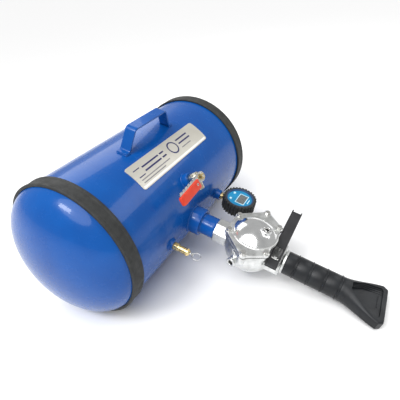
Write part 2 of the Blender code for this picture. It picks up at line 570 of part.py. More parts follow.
def make_valve_cover(valve, cast, steel, rubber, spring_steel):
    inner = CHAMBER_RADIUS
    gasket = drilled_prism(flange_outline(), inner, GASKET_LOW, GASKET_LOW + GASKET_THICKNESS, 24)
    gasket = piece("cover_gasket", gasket, rubber, valve)
    cover = piece("valve_cover", extruded(flange_outline(), COVER_LOW, COVER_TOP), cast, valve)
    ball = (DOME_BASE_RADIUS ** 2 + DOME_HEIGHT ** 2) / (2 * DOME_HEIGHT)
    centre = COVER_TOP + DOME_HEIGHT - ball
    start = degrees(atan2(COVER_TOP - centre, DOME_BASE_RADIUS))
    dome_top = COVER_TOP + DOME_HEIGHT
    dome = [(0, COVER_LOW + 1 * MM), (DOME_BASE_RADIUS, COVER_LOW + 1 * MM)]
    dome += arc(ball, start, 85, 5, (0, centre)) + [(0, dome_top)]
    dome = piece("dome", turned(dome, 24), None, valve)
    port_place = (0, -COVER_PORT_OFFSET, 0)
    port = piece("cover_port", rod(COVER_PORT_RADIUS, COVER_TOP, dome_top + 0.5 * MM, 20), None, valve, port_place)
    boolean(cover, "UNION", dome, port)
    bore = PISTON_RADIUS + 2 * RUN
    bore_top = centre + sqrt(ball ** 2 - bore ** 2) - DOME_WALL
    cavity = [(0, COVER_LOW - 3 * MM), (bore, COVER_LOW - 3 * MM), (bore, bore_top),
              (bore * 0.55, dome_top - DOME_WALL - 3 * MM), (0, dome_top - DOME_WALL - 1.5 * MM)]
    cavity = piece("piston_bore", turned(cavity, 24), None, valve)
    port_hole = rod(COVER_PLUG_RADIUS + GAP, COVER_TOP + 2 * MM, dome_top + 5 * MM, 20)
    boolean(cover, "DIFFERENCE", cavity, piece("port_hole", port_hole, None, valve, port_place))
    for number, (x, y) in enumerate(bolt_places(), 1):
        hole = rod(BOLT_RADIUS + GAP, BODY_FLANGE[1] - 3 * MM, COVER_TOP + 3 * MM, 12)
        hole = piece(f"bolt_hole_{number}", hole, None, valve, (x, y, 0))
        boolean(cover, "DIFFERENCE", hole)
        boolean(gasket, "DIFFERENCE", hole)
        seat = COVER_TOP + GAP
        bolt = [(0, BODY_FLANGE[0] - 6 * MM), (BOLT_RADIUS, BODY_FLANGE[0] - 6 * MM), (BOLT_RADIUS, seat),
                (BOLT_HEAD_RADIUS, seat), (BOLT_HEAD_RADIUS, seat + BOLT_HEAD_HEIGHT - 1 * MM),
                (BOLT_HEAD_RADIUS - 1 * MM, seat + BOLT_HEAD_HEIGHT), (0, seat + BOLT_HEAD_HEIGHT)]
        piece(f"cover_bolt_{number}", turned(bolt, 12), steel, valve, (x, y, 0))
    plug_low, plug_high = dome_top - 6 * MM, dome_top
    plug = piece("cover_plug", rod(COVER_PLUG_RADIUS, plug_low, plug_high, 20), steel, valve, port_place)
    key = extruded(polygon(COVER_PLUG_RADIUS * 0.62, 6), plug_high - 4 * MM, plug_high + 3 * MM)
    boolean(plug, "DIFFERENCE", piece("cover_plug_key", key, None, valve, port_place))

    seal_low = SEAT_HEIGHT + GAP
    floor = seal_low + SEAL_THICKNESS + GAP
    rise = bore_top - GAP - PISTON_LIFT
    piston = [(0, floor), (TOWER_RADIUS + 1 * MM, floor), (PISTON_RADIUS, floor + 7 * MM), (PISTON_RADIUS, rise),
              (PISTON_RADIUS - 3.4 * MM, rise), (PISTON_RADIUS - 3.4 * MM, rise - 4 * MM),
              (TOWER_RADIUS - 3 * MM, floor + 4.5 * MM), (0, floor + 4.5 * MM)]
    piece("dump_piston", turned(piston, 24), cast, valve)
    piece("piston_seal", ring(SEAT_BORE - 2 * MM, TOWER_RADIUS - 1 * MM, seal_low, seal_low + SEAL_THICKNESS, 24),
          rubber, valve)
    coil("piston_spring", spring_steel, valve, 14 * MM, 1 * MM, floor + 4.5 * MM + GAP,
         dome_top - DOME_WALL - 3.5 * MM, 4.5)


# ---------------------------------------------------------------- trigger and barrel

def make_trigger(trigger, valve, black, steel, spring_steel):
    """The trigger's frame sits on its pivot pin; its channel rises towards the free end."""
    tilt = radians(TRIGGER_TILT)
    near, far = TRIGGER_ENDS[0] - PIVOT_X, TRIGGER_ENDS[1] - PIVOT_X
    near, far = near / cos(tilt), far / cos(tilt)
    top = (TRIGGER_TOP_AT_NEAR_END - PIVOT_HEIGHT - near * sin(tilt)) * cos(tilt)
    half = TRIGGER_WIDTH / 2
    bottom = top - TRIGGER_SKIRT
    lever = piece("trigger_lever", box((near, far), (-half, half), (bottom, top)), black, trigger)
    inside = half - TRIGGER_SHEET
    hollow = piece("trigger_hollow", box((near + TRIGGER_SHEET, far + 5 * MM), (-inside, inside),
                                         (bottom - 5 * MM, top - TRIGGER_SHEET)), None, trigger)
    window_ends = [(x - PIVOT_X) / cos(tilt) for x in TRIGGER_WINDOW]
    side = TRIGGER_WINDOW_WIDTH / 2
    window = piece("trigger_window", box(window_ends, (-side, side), (top - 5 * MM, top + 5 * MM)), None, trigger)
    notch = [(far - 5 * MM, -inside + 1 * MM), (far + 5 * MM, -inside + 1 * MM), (far + 5 * MM, inside - 1 * MM),
             (far - 5 * MM, inside - 1 * MM)]
    notch = piece("trigger_notch", extruded(notch, top - 5 * MM, top + 5 * MM), None, trigger)
    pin_hole = piece("trigger_pin_hole", rod(PIVOT_PIN_RADIUS + RUN, -TRIGGER_WIDTH, TRIGGER_WIDTH), None,
                     trigger, rotation=(90, TRIGGER_TILT, 0))
    boolean(lever, "DIFFERENCE", hollow, window, notch, pin_hole)
    lever_y = -(BLOCK_SPAN[0] + BLOCK_SPAN[1]) / 2
    piece("pivot_pin", rod(PIVOT_PIN_RADIUS, -half - GAP, half + GAP), steel, valve,
          (PIVOT_X, lever_y, PIVOT_HEIGHT), (90, 0, 0))

    under = PIVOT_HEIGHT + (PLUNGER_X - PIVOT_X) * sin(tilt) / cos(tilt) + (top - TRIGGER_SHEET) / cos(tilt)
    crown = under - 2 * GAP
    stroke = (PLUNGER_X - PIVOT_X) * radians(TRIGGER_TRAVEL)
    foot = PLUNGER_HOLE_FLOOR + stroke + 1 * MM
    plunger = [(0, foot), (PLUNGER_RADIUS, foot), (PLUNGER_RADIUS, crown - PLUNGER_RADIUS)]
    plunger += arc(PLUNGER_RADIUS, 30, 60, 1, (0, crown - PLUNGER_RADIUS)) + [(0, crown)]
    piece("pilot_plunger", turned(plunger, 12), steel, valve, (PLUNGER_X, lever_y, 0))
    coil("trigger_spring", spring_steel, valve, PLUNGER_RADIUS + 1.6 * MM, 0.7 * MM, BLOCK_HEIGHTS[1] + GAP,
         crown - 1.5 * MM, 5, (PLUNGER_X, lever_y, 0))


def nozzle_section(distance, half_width, half_height, squareness, points=24):
    """One ring across the barrel: a circle that turns into a rounded slot as squareness grows."""
    ring_points = []
    for i in range(points):
        angle = 2 * pi * i / points
        c, s = cos(angle), sin(angle)
        power = 1 - 0.8 * squareness
        x = half_width * abs(c) ** power * (1 if c >= 0 else -1)
        y = half_height * abs(s) ** power * (1 if s >= 0 else -1)
        ring_points.append((x, y, distance))
    return ring_points


def make_barrel(outlet, cast, plastic):
    spigot = TUBE_RADIUS - TUBE_WALL - GAP
    low, high = COLLAR_S, COLLAR_S + COLLAR_THICKNESS
    collar = [(18 * MM, low), (COLLAR_RADIUS, low), (COLLAR_RADIUS, high), (spigot, high),
              (spigot, high + 15 * MM), (18 * MM, high + 15 * MM)]
    piece("barrel_collar", turned(collar, 24), cast, outlet)

    outer = [nozzle_section(TUBE_S, TUBE_RADIUS, TUBE_RADIUS, 0)]
    for number in range(GRIP_RING_COUNT):
        middle = TUBE_S + GRIP_RING_START + number * GRIP_RING_PITCH
        for shift, rise in ((-2.6, 0), (-1.6, 1), (1.6, 1), (2.6, 0)):
            radius = TUBE_RADIUS + rise * GRIP_RING_HEIGHT
            outer.append(nozzle_section(middle + shift * MM, radius, radius, 0))
    flare = TUBE_S + TUBE_LENGTH
    inner = []
    for share in (0.0, 0.2, 0.4, 0.6, 0.8, 1.0):
        blend = share * share * (3 - 2 * share)
        distance = flare + share * (NOZZLE_LENGTH - NOZZLE_CORNER)
        width = TUBE_RADIUS + (NOZZLE_HALF_WIDTH - TUBE_RADIUS) * (0.35 * blend + 0.65 * share)
        height = TUBE_RADIUS + (NOZZLE_HALF_HEIGHT - TUBE_RADIUS) * blend
        outer.append(nozzle_section(distance, width, height, blend))
        wall = TUBE_WALL + (NOZZLE_LIP - TUBE_WALL) * share
        inner.append(nozzle_section(distance, width - wall, height - wall, blend))
    mouth_half = NOZZLE_HALF_WIDTH - NOZZLE_CORNER * 0.7
    outer.append(nozzle_section(MOUTH_S, mouth_half, NOZZLE_HALF_HEIGHT, 1))
    inner.append(nozzle_section(MOUTH_S, mouth_half - NOZZLE_LIP, NOZZLE_HALF_HEIGHT - NOZZLE_LIP, 1))
    bore = TUBE_RADIUS - TUBE_WALL
    inner.insert(0, nozzle_section(TUBE_S, bore, bore, 0))
    piece("blast_barrel", lofted(outer + inner[::-1]), plastic, outlet)


# ---------------------------------------------------------------- air inlet ball valve

def make_ball_valve(inlet, lever_frame, brass, nickel, steel, red):
    foot, roof = INLET_BODY_FOOT, INLET_BODY_FOOT + INLET_BODY_HEIGHT
    stem_hole = VALVE_STEM_RADIUS + RUN
    profile = [(0, SHELL_RADIUS - BUNG_DEPTH), (PORT_THREAD_RADIUS, SHELL_RADIUS - BUNG_DEPTH),
               (PORT_THREAD_RADIUS, foot), (INLET_BODY_RADIUS, foot), (INLET_BODY_RADIUS, roof - 2 * MM),
               (INLET_BODY_RADIUS - 2 * MM, roof), (0, roof)]
    body = piece("inlet_valve_body", turned(profile, 24), nickel, inlet)
    port_turn = (90, 0, 0)
    port_place = (0, 0, BALL_HEIGHT)
    port = rod(INLET_PORT_RADIUS, INLET_BODY_RADIUS - 4 * MM, INLET_PORT_REACH, 6, radians(30))
    boolean(body, "UNION", piece("inlet_port", port, None, inlet, port_place, port_turn))
    cavity = turned([(0, -BALL_SPACE)] + arc(BALL_SPACE, -75, 75, 6) + [(0, BALL_SPACE)], 24)
    cavity = piece("ball_cavity", cavity, None, inlet, port_place)
    bore = rod(BALL_BORE, SHELL_RADIUS - BUNG_DEPTH - 5 * MM, BALL_HEIGHT, 16)
    bore = piece("inlet_bore", bore, None, inlet)
    threads = [(0, 0), (BALL_BORE, 0), (BALL_BORE, INLET_PORT_REACH - 11 * MM),
               (INLET_PORT_THREAD, INLET_PORT_REACH - 11 * MM), (INLET_PORT_THREAD, INLET_PORT_REACH + 5 * MM),
               (0, INLET_PORT_REACH + 5 * MM)]
    threads = piece("port_thread", turned(threads, 16), None, inlet, port_place, port_turn)
    stem_bore = piece("stem_bore", rod(stem_hole, BALL_HEIGHT, roof + 5 * MM), None, inlet)
    boolean(body, "DIFFERENCE", cavity, bore, threads, stem_bore)

    nut_low, nut_high = roof + GAP, roof + GAP + 4 * MM
    nut = drilled_prism(polygon(8.5 * MM, 6), stem_hole, nut_low, nut_high, 24)
    piece("packing_nut", nut, brass, inlet)

    ball = turned([(0, -BALL_RADIUS)] + arc(BALL_RADIUS, -75, 75, 6) + [(0, BALL_RADIUS)], 24)
    ball = piece("valve_ball", ball, steel, lever_frame, port_place)
    up_bore = piece("ball_bore_up", rod(BALL_BORE, -BALL_RADIUS - 2 * MM, 1 * MM, 16), None, lever_frame, port_place)
    side_bore = piece("ball_bore_side", rod(BALL_BORE, 0, BALL_RADIUS + 2 * MM, 16), None, lever_frame, port_place,
                      (0, -90, 0))
    boolean(ball, "DIFFERENCE", up_bore, side_bore)
    strap_low = nut_high + GAP
    strap_high = strap_low + LEVER_SHEET
    stem_low = BALL_HEIGHT + BALL_RADIUS + GAP
    piece("valve_stem", rod(VALVE_STEM_RADIUS, stem_low, strap_high + 5.5 * MM), steel, lever_frame)
    hub = [(x, y) for x, y in polygon(11 * MM, 12, radians(15)) if x > -6 * MM]
    half = LEVER_WIDTH / 2
    tip = LEVER_LENGTH - 4 * MM
    pitch = (tip - 14 * MM) / LEVER_TEETH
    teeth = []
    for tooth in range(LEVER_TEETH):
        x, notch = -14 * MM - tooth * pitch, LEVER_EDGE - LEVER_TOOTH
        teeth += [(x, LEVER_EDGE), (x - pitch * 0.6, LEVER_EDGE), (x - pitch * 0.7, notch), (x - pitch, notch)]
    outline = [(-tip, -half), (-11 * MM, -half)] + sorted_by_angle(hub) + teeth
    strap = drilled_prism(outline, VALVE_STEM_RADIUS + GAP, strap_low, strap_high, 12)
    piece("inlet_lever", strap, steel, lever_frame)
    lever_nut = drilled_prism(polygon(6.6 * MM, 6), VALVE_STEM_RADIUS + GAP, strap_high + GAP,
                              strap_high + GAP + 4.5 * MM, 12)
    piece("lever_nut", lever_nut, brass, lever_frame)

    middle = (strap_low + strap_high) / 2
    wide, thick = GRIP_WIDTH / 2, GRIP_THICKNESS / 2
    section = [(-wide, -thick + 2 * MM), (-wide + 2 * MM, -thick), (wide - 2 * MM, -thick), (wide, -thick + 2 * MM),
               (wide, thick - 2 * MM), (wide - 2 * MM, thick), (-wide + 2 * MM, thick), (-wide, thick - 2 * MM)]
    rings = []
    for distance, share in ((GRIP_START, 1.0), (LEVER_LENGTH - 6 * MM, 1.0), (LEVER_LENGTH, 0.72)):
        rings.append([(-distance, y * share - GRIP_SHIFT, middle + z * share) for y, z in section])
    shape = bmesh.new()
    rings = [[shape.verts.new(point) for point in points] for points in rings]
    for first, second in zip(rings, rings[1:]):
        for i in range(len(first)):
            j = (i + 1) % len(first)
            shape.faces.new((first[i], first[j], second[j], second[i]))
    shape.faces.new(rings[0])
    shape.faces.new(rings[-1])
    grip = piece("lever_grip", shape, red, lever_frame)
    pocket = box((-tip - GAP, -GRIP_START + 5 * MM), (-half - GAP, LEVER_EDGE), (strap_low - GAP, strap_high + GAP))
    boolean(grip, "DIFFERENCE", piece("grip_pocket", pocket, None, lever_frame))


def sorted_by_angle(points):
    return sorted(points, key=lambda point: atan2(point[1], point[0]))


# ---------------------------------------------------------------- safety valve

def make_safety_valve(safety, ring_frame, brass, steel, spring_steel):
    low, top = RELIEF_FOOT, RELIEF_TOP
    hex_top = low + 10 * MM
    profile = [(3 * MM, SHELL_RADIUS - BUNG_DEPTH), (PORT_THREAD_RADIUS, SHELL_RADIUS - BUNG_DEPTH),
               (PORT_THREAD_RADIUS, low + 1 * MM), (RELIEF_BODY_RADIUS, low + 1 * MM), (RELIEF_BODY_RADIUS, top),
               (RELIEF_CHAMBER, top), (RELIEF_CHAMBER, low + 3 * MM), (3 * MM, low + 3 * MM)]
    body = piece("safety_body", turned(profile, 16), brass, safety)
    nut = drilled_prism(polygon(9.5 * MM, 6), RELIEF_BODY_RADIUS - 1 * MM, low, hex_top, 16)
    boolean(body, "UNION", piece("safety_hex", nut, None, safety))
    cap_low = top + GAP
    cap_high = cap_low + RELIEF_CAP_LENGTH
    cap = [(RELIEF_ROD_RADIUS + RUN, cap_low), (RELIEF_BODY_RADIUS, cap_low), (RELIEF_BODY_RADIUS, cap_high - 2 * MM),
           (RELIEF_BODY_RADIUS - 2.5 * MM, cap_high), (RELIEF_ROD_RADIUS + RUN, cap_high)]
    piece("safety_cap", turned(cap, 12), brass, safety)

    disc_low = low + 3 * MM + GAP
    disc = disc_low + 2.5 * MM
    neck = RELIEF_EYE - 2.5 * MM
    stem = [(0, disc_low), (RELIEF_CHAMBER - 0.6 * MM, disc_low), (RELIEF_CHAMBER - 0.6 * MM, disc),
            (RELIEF_ROD_RADIUS, disc), (RELIEF_ROD_RADIUS, neck), (0, neck)]
    stem = piece("safety_stem", turned(stem, 12), steel, safety)
    eye = piece("ring_eye", rod(3.4 * MM, -1.4 * MM, 1.4 * MM, 12), None, safety, (0, 0, RELIEF_EYE), (0, 90, 0))
    hole = piece("ring_hole", rod(RING_WIRE + 0.8 * MM, -5 * MM, 5 * MM, 12), None, safety, (0, 0, RELIEF_EYE),
                 (0, 90, 0))
    boolean(stem, "UNION", eye)
    boolean(stem, "DIFFERENCE", hole)
    coil("safety_spring", spring_steel, safety, 3.7 * MM, 0.6 * MM, disc + GAP, top - 1 * MM, 6)
    wire = [(RING_RADIUS + RING_WIRE * x, RING_WIRE * y) for x, y in arc(1, 0, 315, 7)]
    piece("pull_ring", turned(wire, 24), steel, ring_frame, (0, 0, RING_RADIUS), (90, 0, 0))


# ---------------------------------------------------------------- gauge

def make_gauge(gauge, outlet_line, brass, rubber, case_plastic, face_plastic, display, clear, button_plastic):
    """The gauge's frame is at the middle of its case, Z towards the reader, +Y towards the tank."""
    low, high = GAUGE_HALF_CASE
    floor = high - GAUGE_RECESS
    stem_drop = -GAUGE_MID_HEIGHT
    bore = GAUGE_CASE_RADIUS - GAUGE_RIM
    stem = [(2 * MM, SHELL_RADIUS - BUNG_DEPTH), (PORT_THREAD_RADIUS, SHELL_RADIUS - BUNG_DEPTH),
            (PORT_THREAD_RADIUS, SHELL_RADIUS + BUNG_HEIGHT + 6 * MM), (5.5 * MM, SHELL_RADIUS + BUNG_HEIGHT + 7 * MM),
            (5.5 * MM, STEM_END), (2 * MM, STEM_END)]
    stem = piece("gauge_stem", turned(stem, 16), brass, outlet_line)
    hex_low = SHELL_RADIUS + BUNG_HEIGHT + 1 * MM
    collar = drilled_prism(polygon(9.8 * MM, 6), PORT_THREAD_RADIUS - 1 * MM, hex_low, hex_low + 4.5 * MM, 16)
    boolean(stem, "UNION", piece("gauge_hex", collar, None, outlet_line))

    case = [(0, low), (GAUGE_CASE_RADIUS, low), (GAUGE_CASE_RADIUS, high - 1 * MM),
            (GAUGE_CASE_RADIUS - 1 * MM, high), (bore, high), (bore, floor), (0, floor)]
    piece("gauge_case", turned(case, 30), case_plastic, gauge)

    boot_bore = GAUGE_CASE_RADIUS + GAP
    root = boot_bore + BOOT_WALL
    outline = []
    for tooth in range(BOOT_TEETH):
        middle = 2 * pi * tooth / BOOT_TEETH
        quarter = pi / BOOT_TEETH / 2
        for angle, radius in ((-quarter * 1.2, root), (-quarter * 0.5, root + BOOT_TOOTH),
                              (quarter * 0.5, root + BOOT_TOOTH), (quarter * 1.2, root)):
            outline.append((radius * cos(middle + angle), radius * sin(middle + angle)))
    boot_low = low - GAP - 2 * MM
    boot = piece("gauge_boot", extruded(outline, boot_low, high), rubber, gauge)
    hollow = piece("boot_hollow", rod(boot_bore, low - GAP, high + 5 * MM, 30), None, gauge)
    entry = piece("boot_entry", rod(5.5 * MM + 2 * GAP, GAUGE_CASE_RADIUS - 5 * MM, root + BOOT_TOOTH + 5 * MM, 16),
                  None, gauge, (0, 0, stem_drop), (-90, 0, 0))
    boolean(boot, "DIFFERENCE", hollow, entry)

    plate_low = floor + GAP
    plate_high = plate_low + FACE_THICKNESS
    face = piece("gauge_face", rod(bore - GAP, plate_low, plate_high, 30), face_plastic, gauge)
    half_x, half_y = DISPLAY_SIZE[0] / 2, DISPLAY_SIZE[1] / 2
    centre = (0, -DISPLAY_OFFSET, 0)
    opening = piece("display_opening", box((-half_x, half_x), (-half_y, half_y), (floor - 2 * MM, high)), None,
                    gauge, centre)
    boolean(face, "DIFFERENCE", opening)
    fit_x, fit_y = half_x - GAP, half_y - GAP
    piece("gauge_display", box((-fit_x, fit_x), (-fit_y, fit_y), (plate_low, plate_low + 0.7 * MM)), display,
          gauge, centre)
    piece("display_window", box((-fit_x, fit_x), (-fit_y, fit_y), (plate_low + 1 * MM, plate_high + 0.4 * MM)),
          clear, gauge, centre)
    for name, side in (("gauge_button_left", -1), ("gauge_button_right", 1)):
        place = (side * BUTTON_X, BUTTON_OFFSET, 0)
        hole = piece(f"{name}_hole", rod(BUTTON_RADIUS + GAP, floor - 2 * MM, high, 16), None, gauge, place)
        boolean(face, "DIFFERENCE", hole)
        button_low = plate_low + BUTTON_TRAVEL + 0.1 * MM
        cap = [(0, button_low), (BUTTON_RADIUS, button_low), (BUTTON_RADIUS, plate_high + 1.2 * MM),
               (BUTTON_RADIUS - 0.8 * MM, plate_high + 2 * MM), (0, plate_high + 2 * MM)]
        piece(name, turned(cap, 16), button_plastic, gauge, place)


# ---------------------------------------------------------------- assembly

def main():
    for obj in list(bpy.data.objects):
        bpy.data.objects.remove(obj, do_unlink=True)

    blue = material("blue_enamel", (0.010, 0.085, 0.36), 0.22)
    rubber = material("black_rubber", (0.030, 0.030, 0.032), 0.75)
    plate = material("label_silver", (0.66, 0.64, 0.57), 0.35, 0.3)
    cast = material("cast_aluminium", (0.62, 0.63, 0.63), 0.32, 1.0)
    steel = material("zinc_steel", (0.62, 0.62, 0.60), 0.30, 1.0)
    spring_steel = material("spring_steel", (0.45, 0.45, 0.46), 0.35, 1.0)
    brass = material("brass", (0.72, 0.58, 0.32), 0.28, 1.0)
    nickel = material("nickel_plate", (0.68, 0.66, 0.60), 0.25, 1.0)
    black = material("black_lacquer", (0.028, 0.028, 0.030), 0.45)
    plastic = material("black_plastic", (0.045, 0.047, 0.050), 0.50)
    red = material("red_vinyl", (0.72, 0.045, 0.020), 0.40)
    case_plastic = material("gauge_case_blue", (0.02, 0.05, 0.14), 0.40)
    face_plastic = material("gauge_face_cyan", (0.02, 0.36, 0.62), 0.30)
    display = material("display_grey", (0.30, 0.36, 0.34), 0.25)
    clear = material("clear_plastic", (0.85, 0.90, 0.92), 0.08)
    button_plastic = material("button_white", (0.70, 0.82, 0.88), 0.35)

    floor = frame("tank_axis", None, (0, AXIS_Y, AXIS_HEIGHT))
    tank = frame("tank_frame", floor, rotation=(degrees(REST_ROLL), 0, 0))
    outlet = frame("outlet_frame", tank, (OUTLET_X, 0, 0), (90, 0, 0))
    valve = frame("valve_frame", tank, (OUTLET_X, -VALVE_S, 0))
    inlet = frame("inlet_frame", tank, (OUTLET_X, 0, 0), (90 - INLET_ANGLE, 0, 0))
    inlet_lever = frame("inlet_lever_axis", inlet, rotation=(0, 0, LEVER_TURN))
    trigger = frame("trigger_axis", tank, (OUTLET_X + PIVOT_X, -TRIGGER_S, PIVOT_HEIGHT), (0, -TRIGGER_TILT, 0))
    safety = frame("safety_frame", tank, (SAFETY_X, 0, 0), (90, 0, 0))
    ring_axis = frame("ring_axis", safety, (0, 0, RELIEF_EYE))
    gauge_line = frame("gauge_line", tank, (GAUGE_X, 0, 0), (90, 0, 0))
    gauge = frame("gauge_frame", tank, (GAUGE_X, -GAUGE_REACH, GAUGE_MID_HEIGHT))

    make_shell(tank, blue)
    make_head("near_head", tank, blue, -1)
    make_head("far_head", tank, blue, 1)
    make_bumper("near_bumper", floor, rubber, -1)
    make_bumper("far_bumper", floor, rubber, 1)
    make_handle(tank, blue)
    make_nameplate(tank, plate)
    make_bungs(tank, blue, brass)
    make_outlet_pipe(outlet, blue)
    make_valve_body(valve, outlet, cast)
    make_valve_cover(valve, cast, steel, rubber, spring_steel)
    make_trigger(trigger, valve, black, steel, spring_steel)
    make_barrel(outlet, cast, plastic)
    make_ball_valve(inlet, inlet_lever, brass, nickel, steel, red)
    make_safety_valve(safety, ring_axis, brass, steel, spring_steel)
    make_gauge(gauge, gauge_line, brass, rubber, case_plastic, face_plastic, display, clear, button_plastic)


main()
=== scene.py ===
import json
from math import atan2, cos, degrees, hypot, pi, radians, sin, sqrt

import bmesh
import bpy
from mathutils import Matrix, Vector, noise


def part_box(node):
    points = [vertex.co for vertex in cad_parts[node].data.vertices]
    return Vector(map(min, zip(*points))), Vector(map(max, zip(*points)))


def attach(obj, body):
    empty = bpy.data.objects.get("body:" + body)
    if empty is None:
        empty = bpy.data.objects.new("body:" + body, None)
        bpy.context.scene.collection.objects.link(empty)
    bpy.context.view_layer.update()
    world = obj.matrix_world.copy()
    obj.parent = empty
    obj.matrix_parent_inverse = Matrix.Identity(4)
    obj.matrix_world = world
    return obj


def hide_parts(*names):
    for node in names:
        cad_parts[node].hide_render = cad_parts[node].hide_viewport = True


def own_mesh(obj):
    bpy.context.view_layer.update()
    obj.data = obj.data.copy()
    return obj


# Portable air tank with a dump valve and a fan nozzle: finishes, fine pieces, light and camera.
# Lengths are in metres, and mm turns millimetres into them.

mm = 0.001
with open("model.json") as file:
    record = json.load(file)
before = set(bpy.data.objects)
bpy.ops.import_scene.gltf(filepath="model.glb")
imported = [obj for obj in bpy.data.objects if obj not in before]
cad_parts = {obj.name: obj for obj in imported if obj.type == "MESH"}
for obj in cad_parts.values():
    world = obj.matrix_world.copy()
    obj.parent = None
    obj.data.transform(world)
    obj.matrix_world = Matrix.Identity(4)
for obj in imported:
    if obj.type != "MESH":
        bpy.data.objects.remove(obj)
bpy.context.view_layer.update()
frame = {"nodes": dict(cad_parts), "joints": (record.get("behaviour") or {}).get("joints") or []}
nodes = frame["nodes"]

# the tank lies in the bumpers' rings and is rolled about its own axis
ringLow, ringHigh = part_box("near_bumper")
axisY = (ringLow.y + ringHigh.y) / 2
axisZ = (ringLow.z + ringHigh.z) / 2
reliefAxis = next(joint["axis"] for joint in frame["joints"] if joint["name"] == "relief_lift")
rollAngle = atan2(-reliefAxis[2], -reliefAxis[1])


def shift(x=0.0, y=0.0, z=0.0):
    return Matrix.Translation((x, y, z))


def turnX(angle):
    return Matrix.Rotation(radians(angle), 4, "X")


def turnY(angle):
    return Matrix.Rotation(radians(angle), 4, "Y")


def turnZ(angle):
    return Matrix.Rotation(radians(angle), 4, "Z")


tank = {
    "radius": 152.4 * mm, "wall": 3.0 * mm, "tangent": 245.0 * mm, "skirt": 9.0 * mm,
    "outletX": -19.0 * mm, "gaugeX": 99.0 * mm, "reliefX": -119.0 * mm, "drainX": 120.0 * mm,
    "inletAngle": 39.2, "drainAngle": -135.0, "neckEnd": 213.4 * mm, "valveMiddle": 299.4 * mm,
    "gaugeReach": 216.5 * mm, "gaugeRise": 7.0 * mm, "leverTurn": 3, "triggerTilt": -10,
    "pivot": (-20.0 * mm, -59.5 * mm, 15.0 * mm), "seamAngle": -28, "sides": 240,
}
floorFrame = shift(0, axisY, axisZ)
tankFrame = floorFrame @ turnX(degrees(rollAngle))
outletFrame = tankFrame @ shift(tank["outletX"]) @ turnX(90)        # Z runs out along the barrel
valveFrame = tankFrame @ shift(tank["outletX"], -tank["valveMiddle"])
inletFrame = tankFrame @ shift(tank["outletX"]) @ turnX(90 - tank["inletAngle"])
leverFrame = inletFrame @ turnZ(tank["leverTurn"])
reliefFrame = tankFrame @ shift(tank["reliefX"]) @ turnX(90)
drainFrame = tankFrame @ shift(tank["drainX"]) @ turnX(90 - tank["drainAngle"])
gaugeLine = tankFrame @ shift(tank["gaugeX"]) @ turnX(90)
gaugeFrame = tankFrame @ shift(tank["gaugeX"], -tank["gaugeReach"], tank["gaugeRise"])
pivotFrame = valveFrame @ shift(*tank["pivot"])
triggerFrame = pivotFrame @ turnY(tank["triggerTilt"])


# Finishes

def addNode(tree, kind, **values):
    node = tree.nodes.new(kind)
    for name, value in values.items():
        if name in node.inputs:
            node.inputs[name].default_value = value
        else:
            setattr(node, name, value)
    return node


def makeFinish(name, look):
    # two colours mixed by a soft noise, roughness by a second one, and two sizes of bump
    finish = bpy.data.materials.new(name)
    finish.use_nodes = True
    tree = finish.node_tree
    shader = tree.nodes["Principled BSDF"]

    def link(source, output, target, entry):
        tree.links.new(source.outputs[output], target.inputs[entry])

    place = addNode(tree, "ShaderNodeTexCoord")
    stretch = addNode(tree, "ShaderNodeMapping")
    stretch.inputs["Scale"].default_value = look.get("stretch", (1, 1, 1))
    link(place, "Object", stretch, "Vector")
    tone = addNode(tree, "ShaderNodeTexNoise", Scale=look.get("toneScale", 25.0), Detail=5.0, Roughness=0.6)
    spread = addNode(tree, "ShaderNodeValToRGB")
    spread.color_ramp.elements[0].position = look.get("toneFrom", 0.35)
    spread.color_ramp.elements[1].position = look.get("toneTo", 0.65)
    spread.color_ramp.elements[0].color = (*look["shade"], 1)
    spread.color_ramp.elements[1].color = (*look["colour"], 1)
    link(place, "Object", tone, "Vector")
    link(tone, "Fac", spread, "Fac")
    link(spread, "Color", shader, "Base Color")
    wear = addNode(tree, "ShaderNodeTexNoise", Scale=look.get("wearScale", 60.0), Detail=6.0, Roughness=0.65)
    level = addNode(tree, "ShaderNodeMapRange")
    level.inputs["From Min"].default_value = 0.3
    level.inputs["From Max"].default_value = 0.7
    level.inputs["To Min"].default_value = look["roughness"][0]
    level.inputs["To Max"].default_value = look["roughness"][1]
    link(stretch, "Vector", wear, "Vector")
    link(wear, "Fac", level, "Value")
    link(level, "Result", shader, "Roughness")
    grain = addNode(tree, "ShaderNodeTexNoise", Scale=look.get("grainScale", 900.0), Detail=4.0, Roughness=0.6)
    swell = addNode(tree, "ShaderNodeTexNoise", Scale=look.get("swellScale", 120.0), Detail=2.0, Roughness=0.5)
    fine = addNode(tree, "ShaderNodeBump", Strength=look.get("grain", 0.1), Distance=0.0004)
    broad = addNode(tree, "ShaderNodeBump", Strength=look.get("swell", 0.05), Distance=0.002)
    link(stretch, "Vector", grain, "Vector")
    link(stretch, "Vector", swell, "Vector")
    link(grain, "Fac", fine, "Height")
    link(swell, "Fac", broad, "Height")
    link(broad, "Normal", fine, "Normal")
    link(fine, "Normal", shader, "Normal")
    for entry, key, usual in (("Metallic", "metallic", 0.0), ("Coat Weight", "coat", 0.0),
                              ("Coat Roughness", "coatRoughness", 0.05), ("Specular IOR Level", "specular", 0.4),
                              ("Alpha", "alpha", 1.0)):
        shader.inputs[entry].default_value = look.get(key, usual)
    return finish


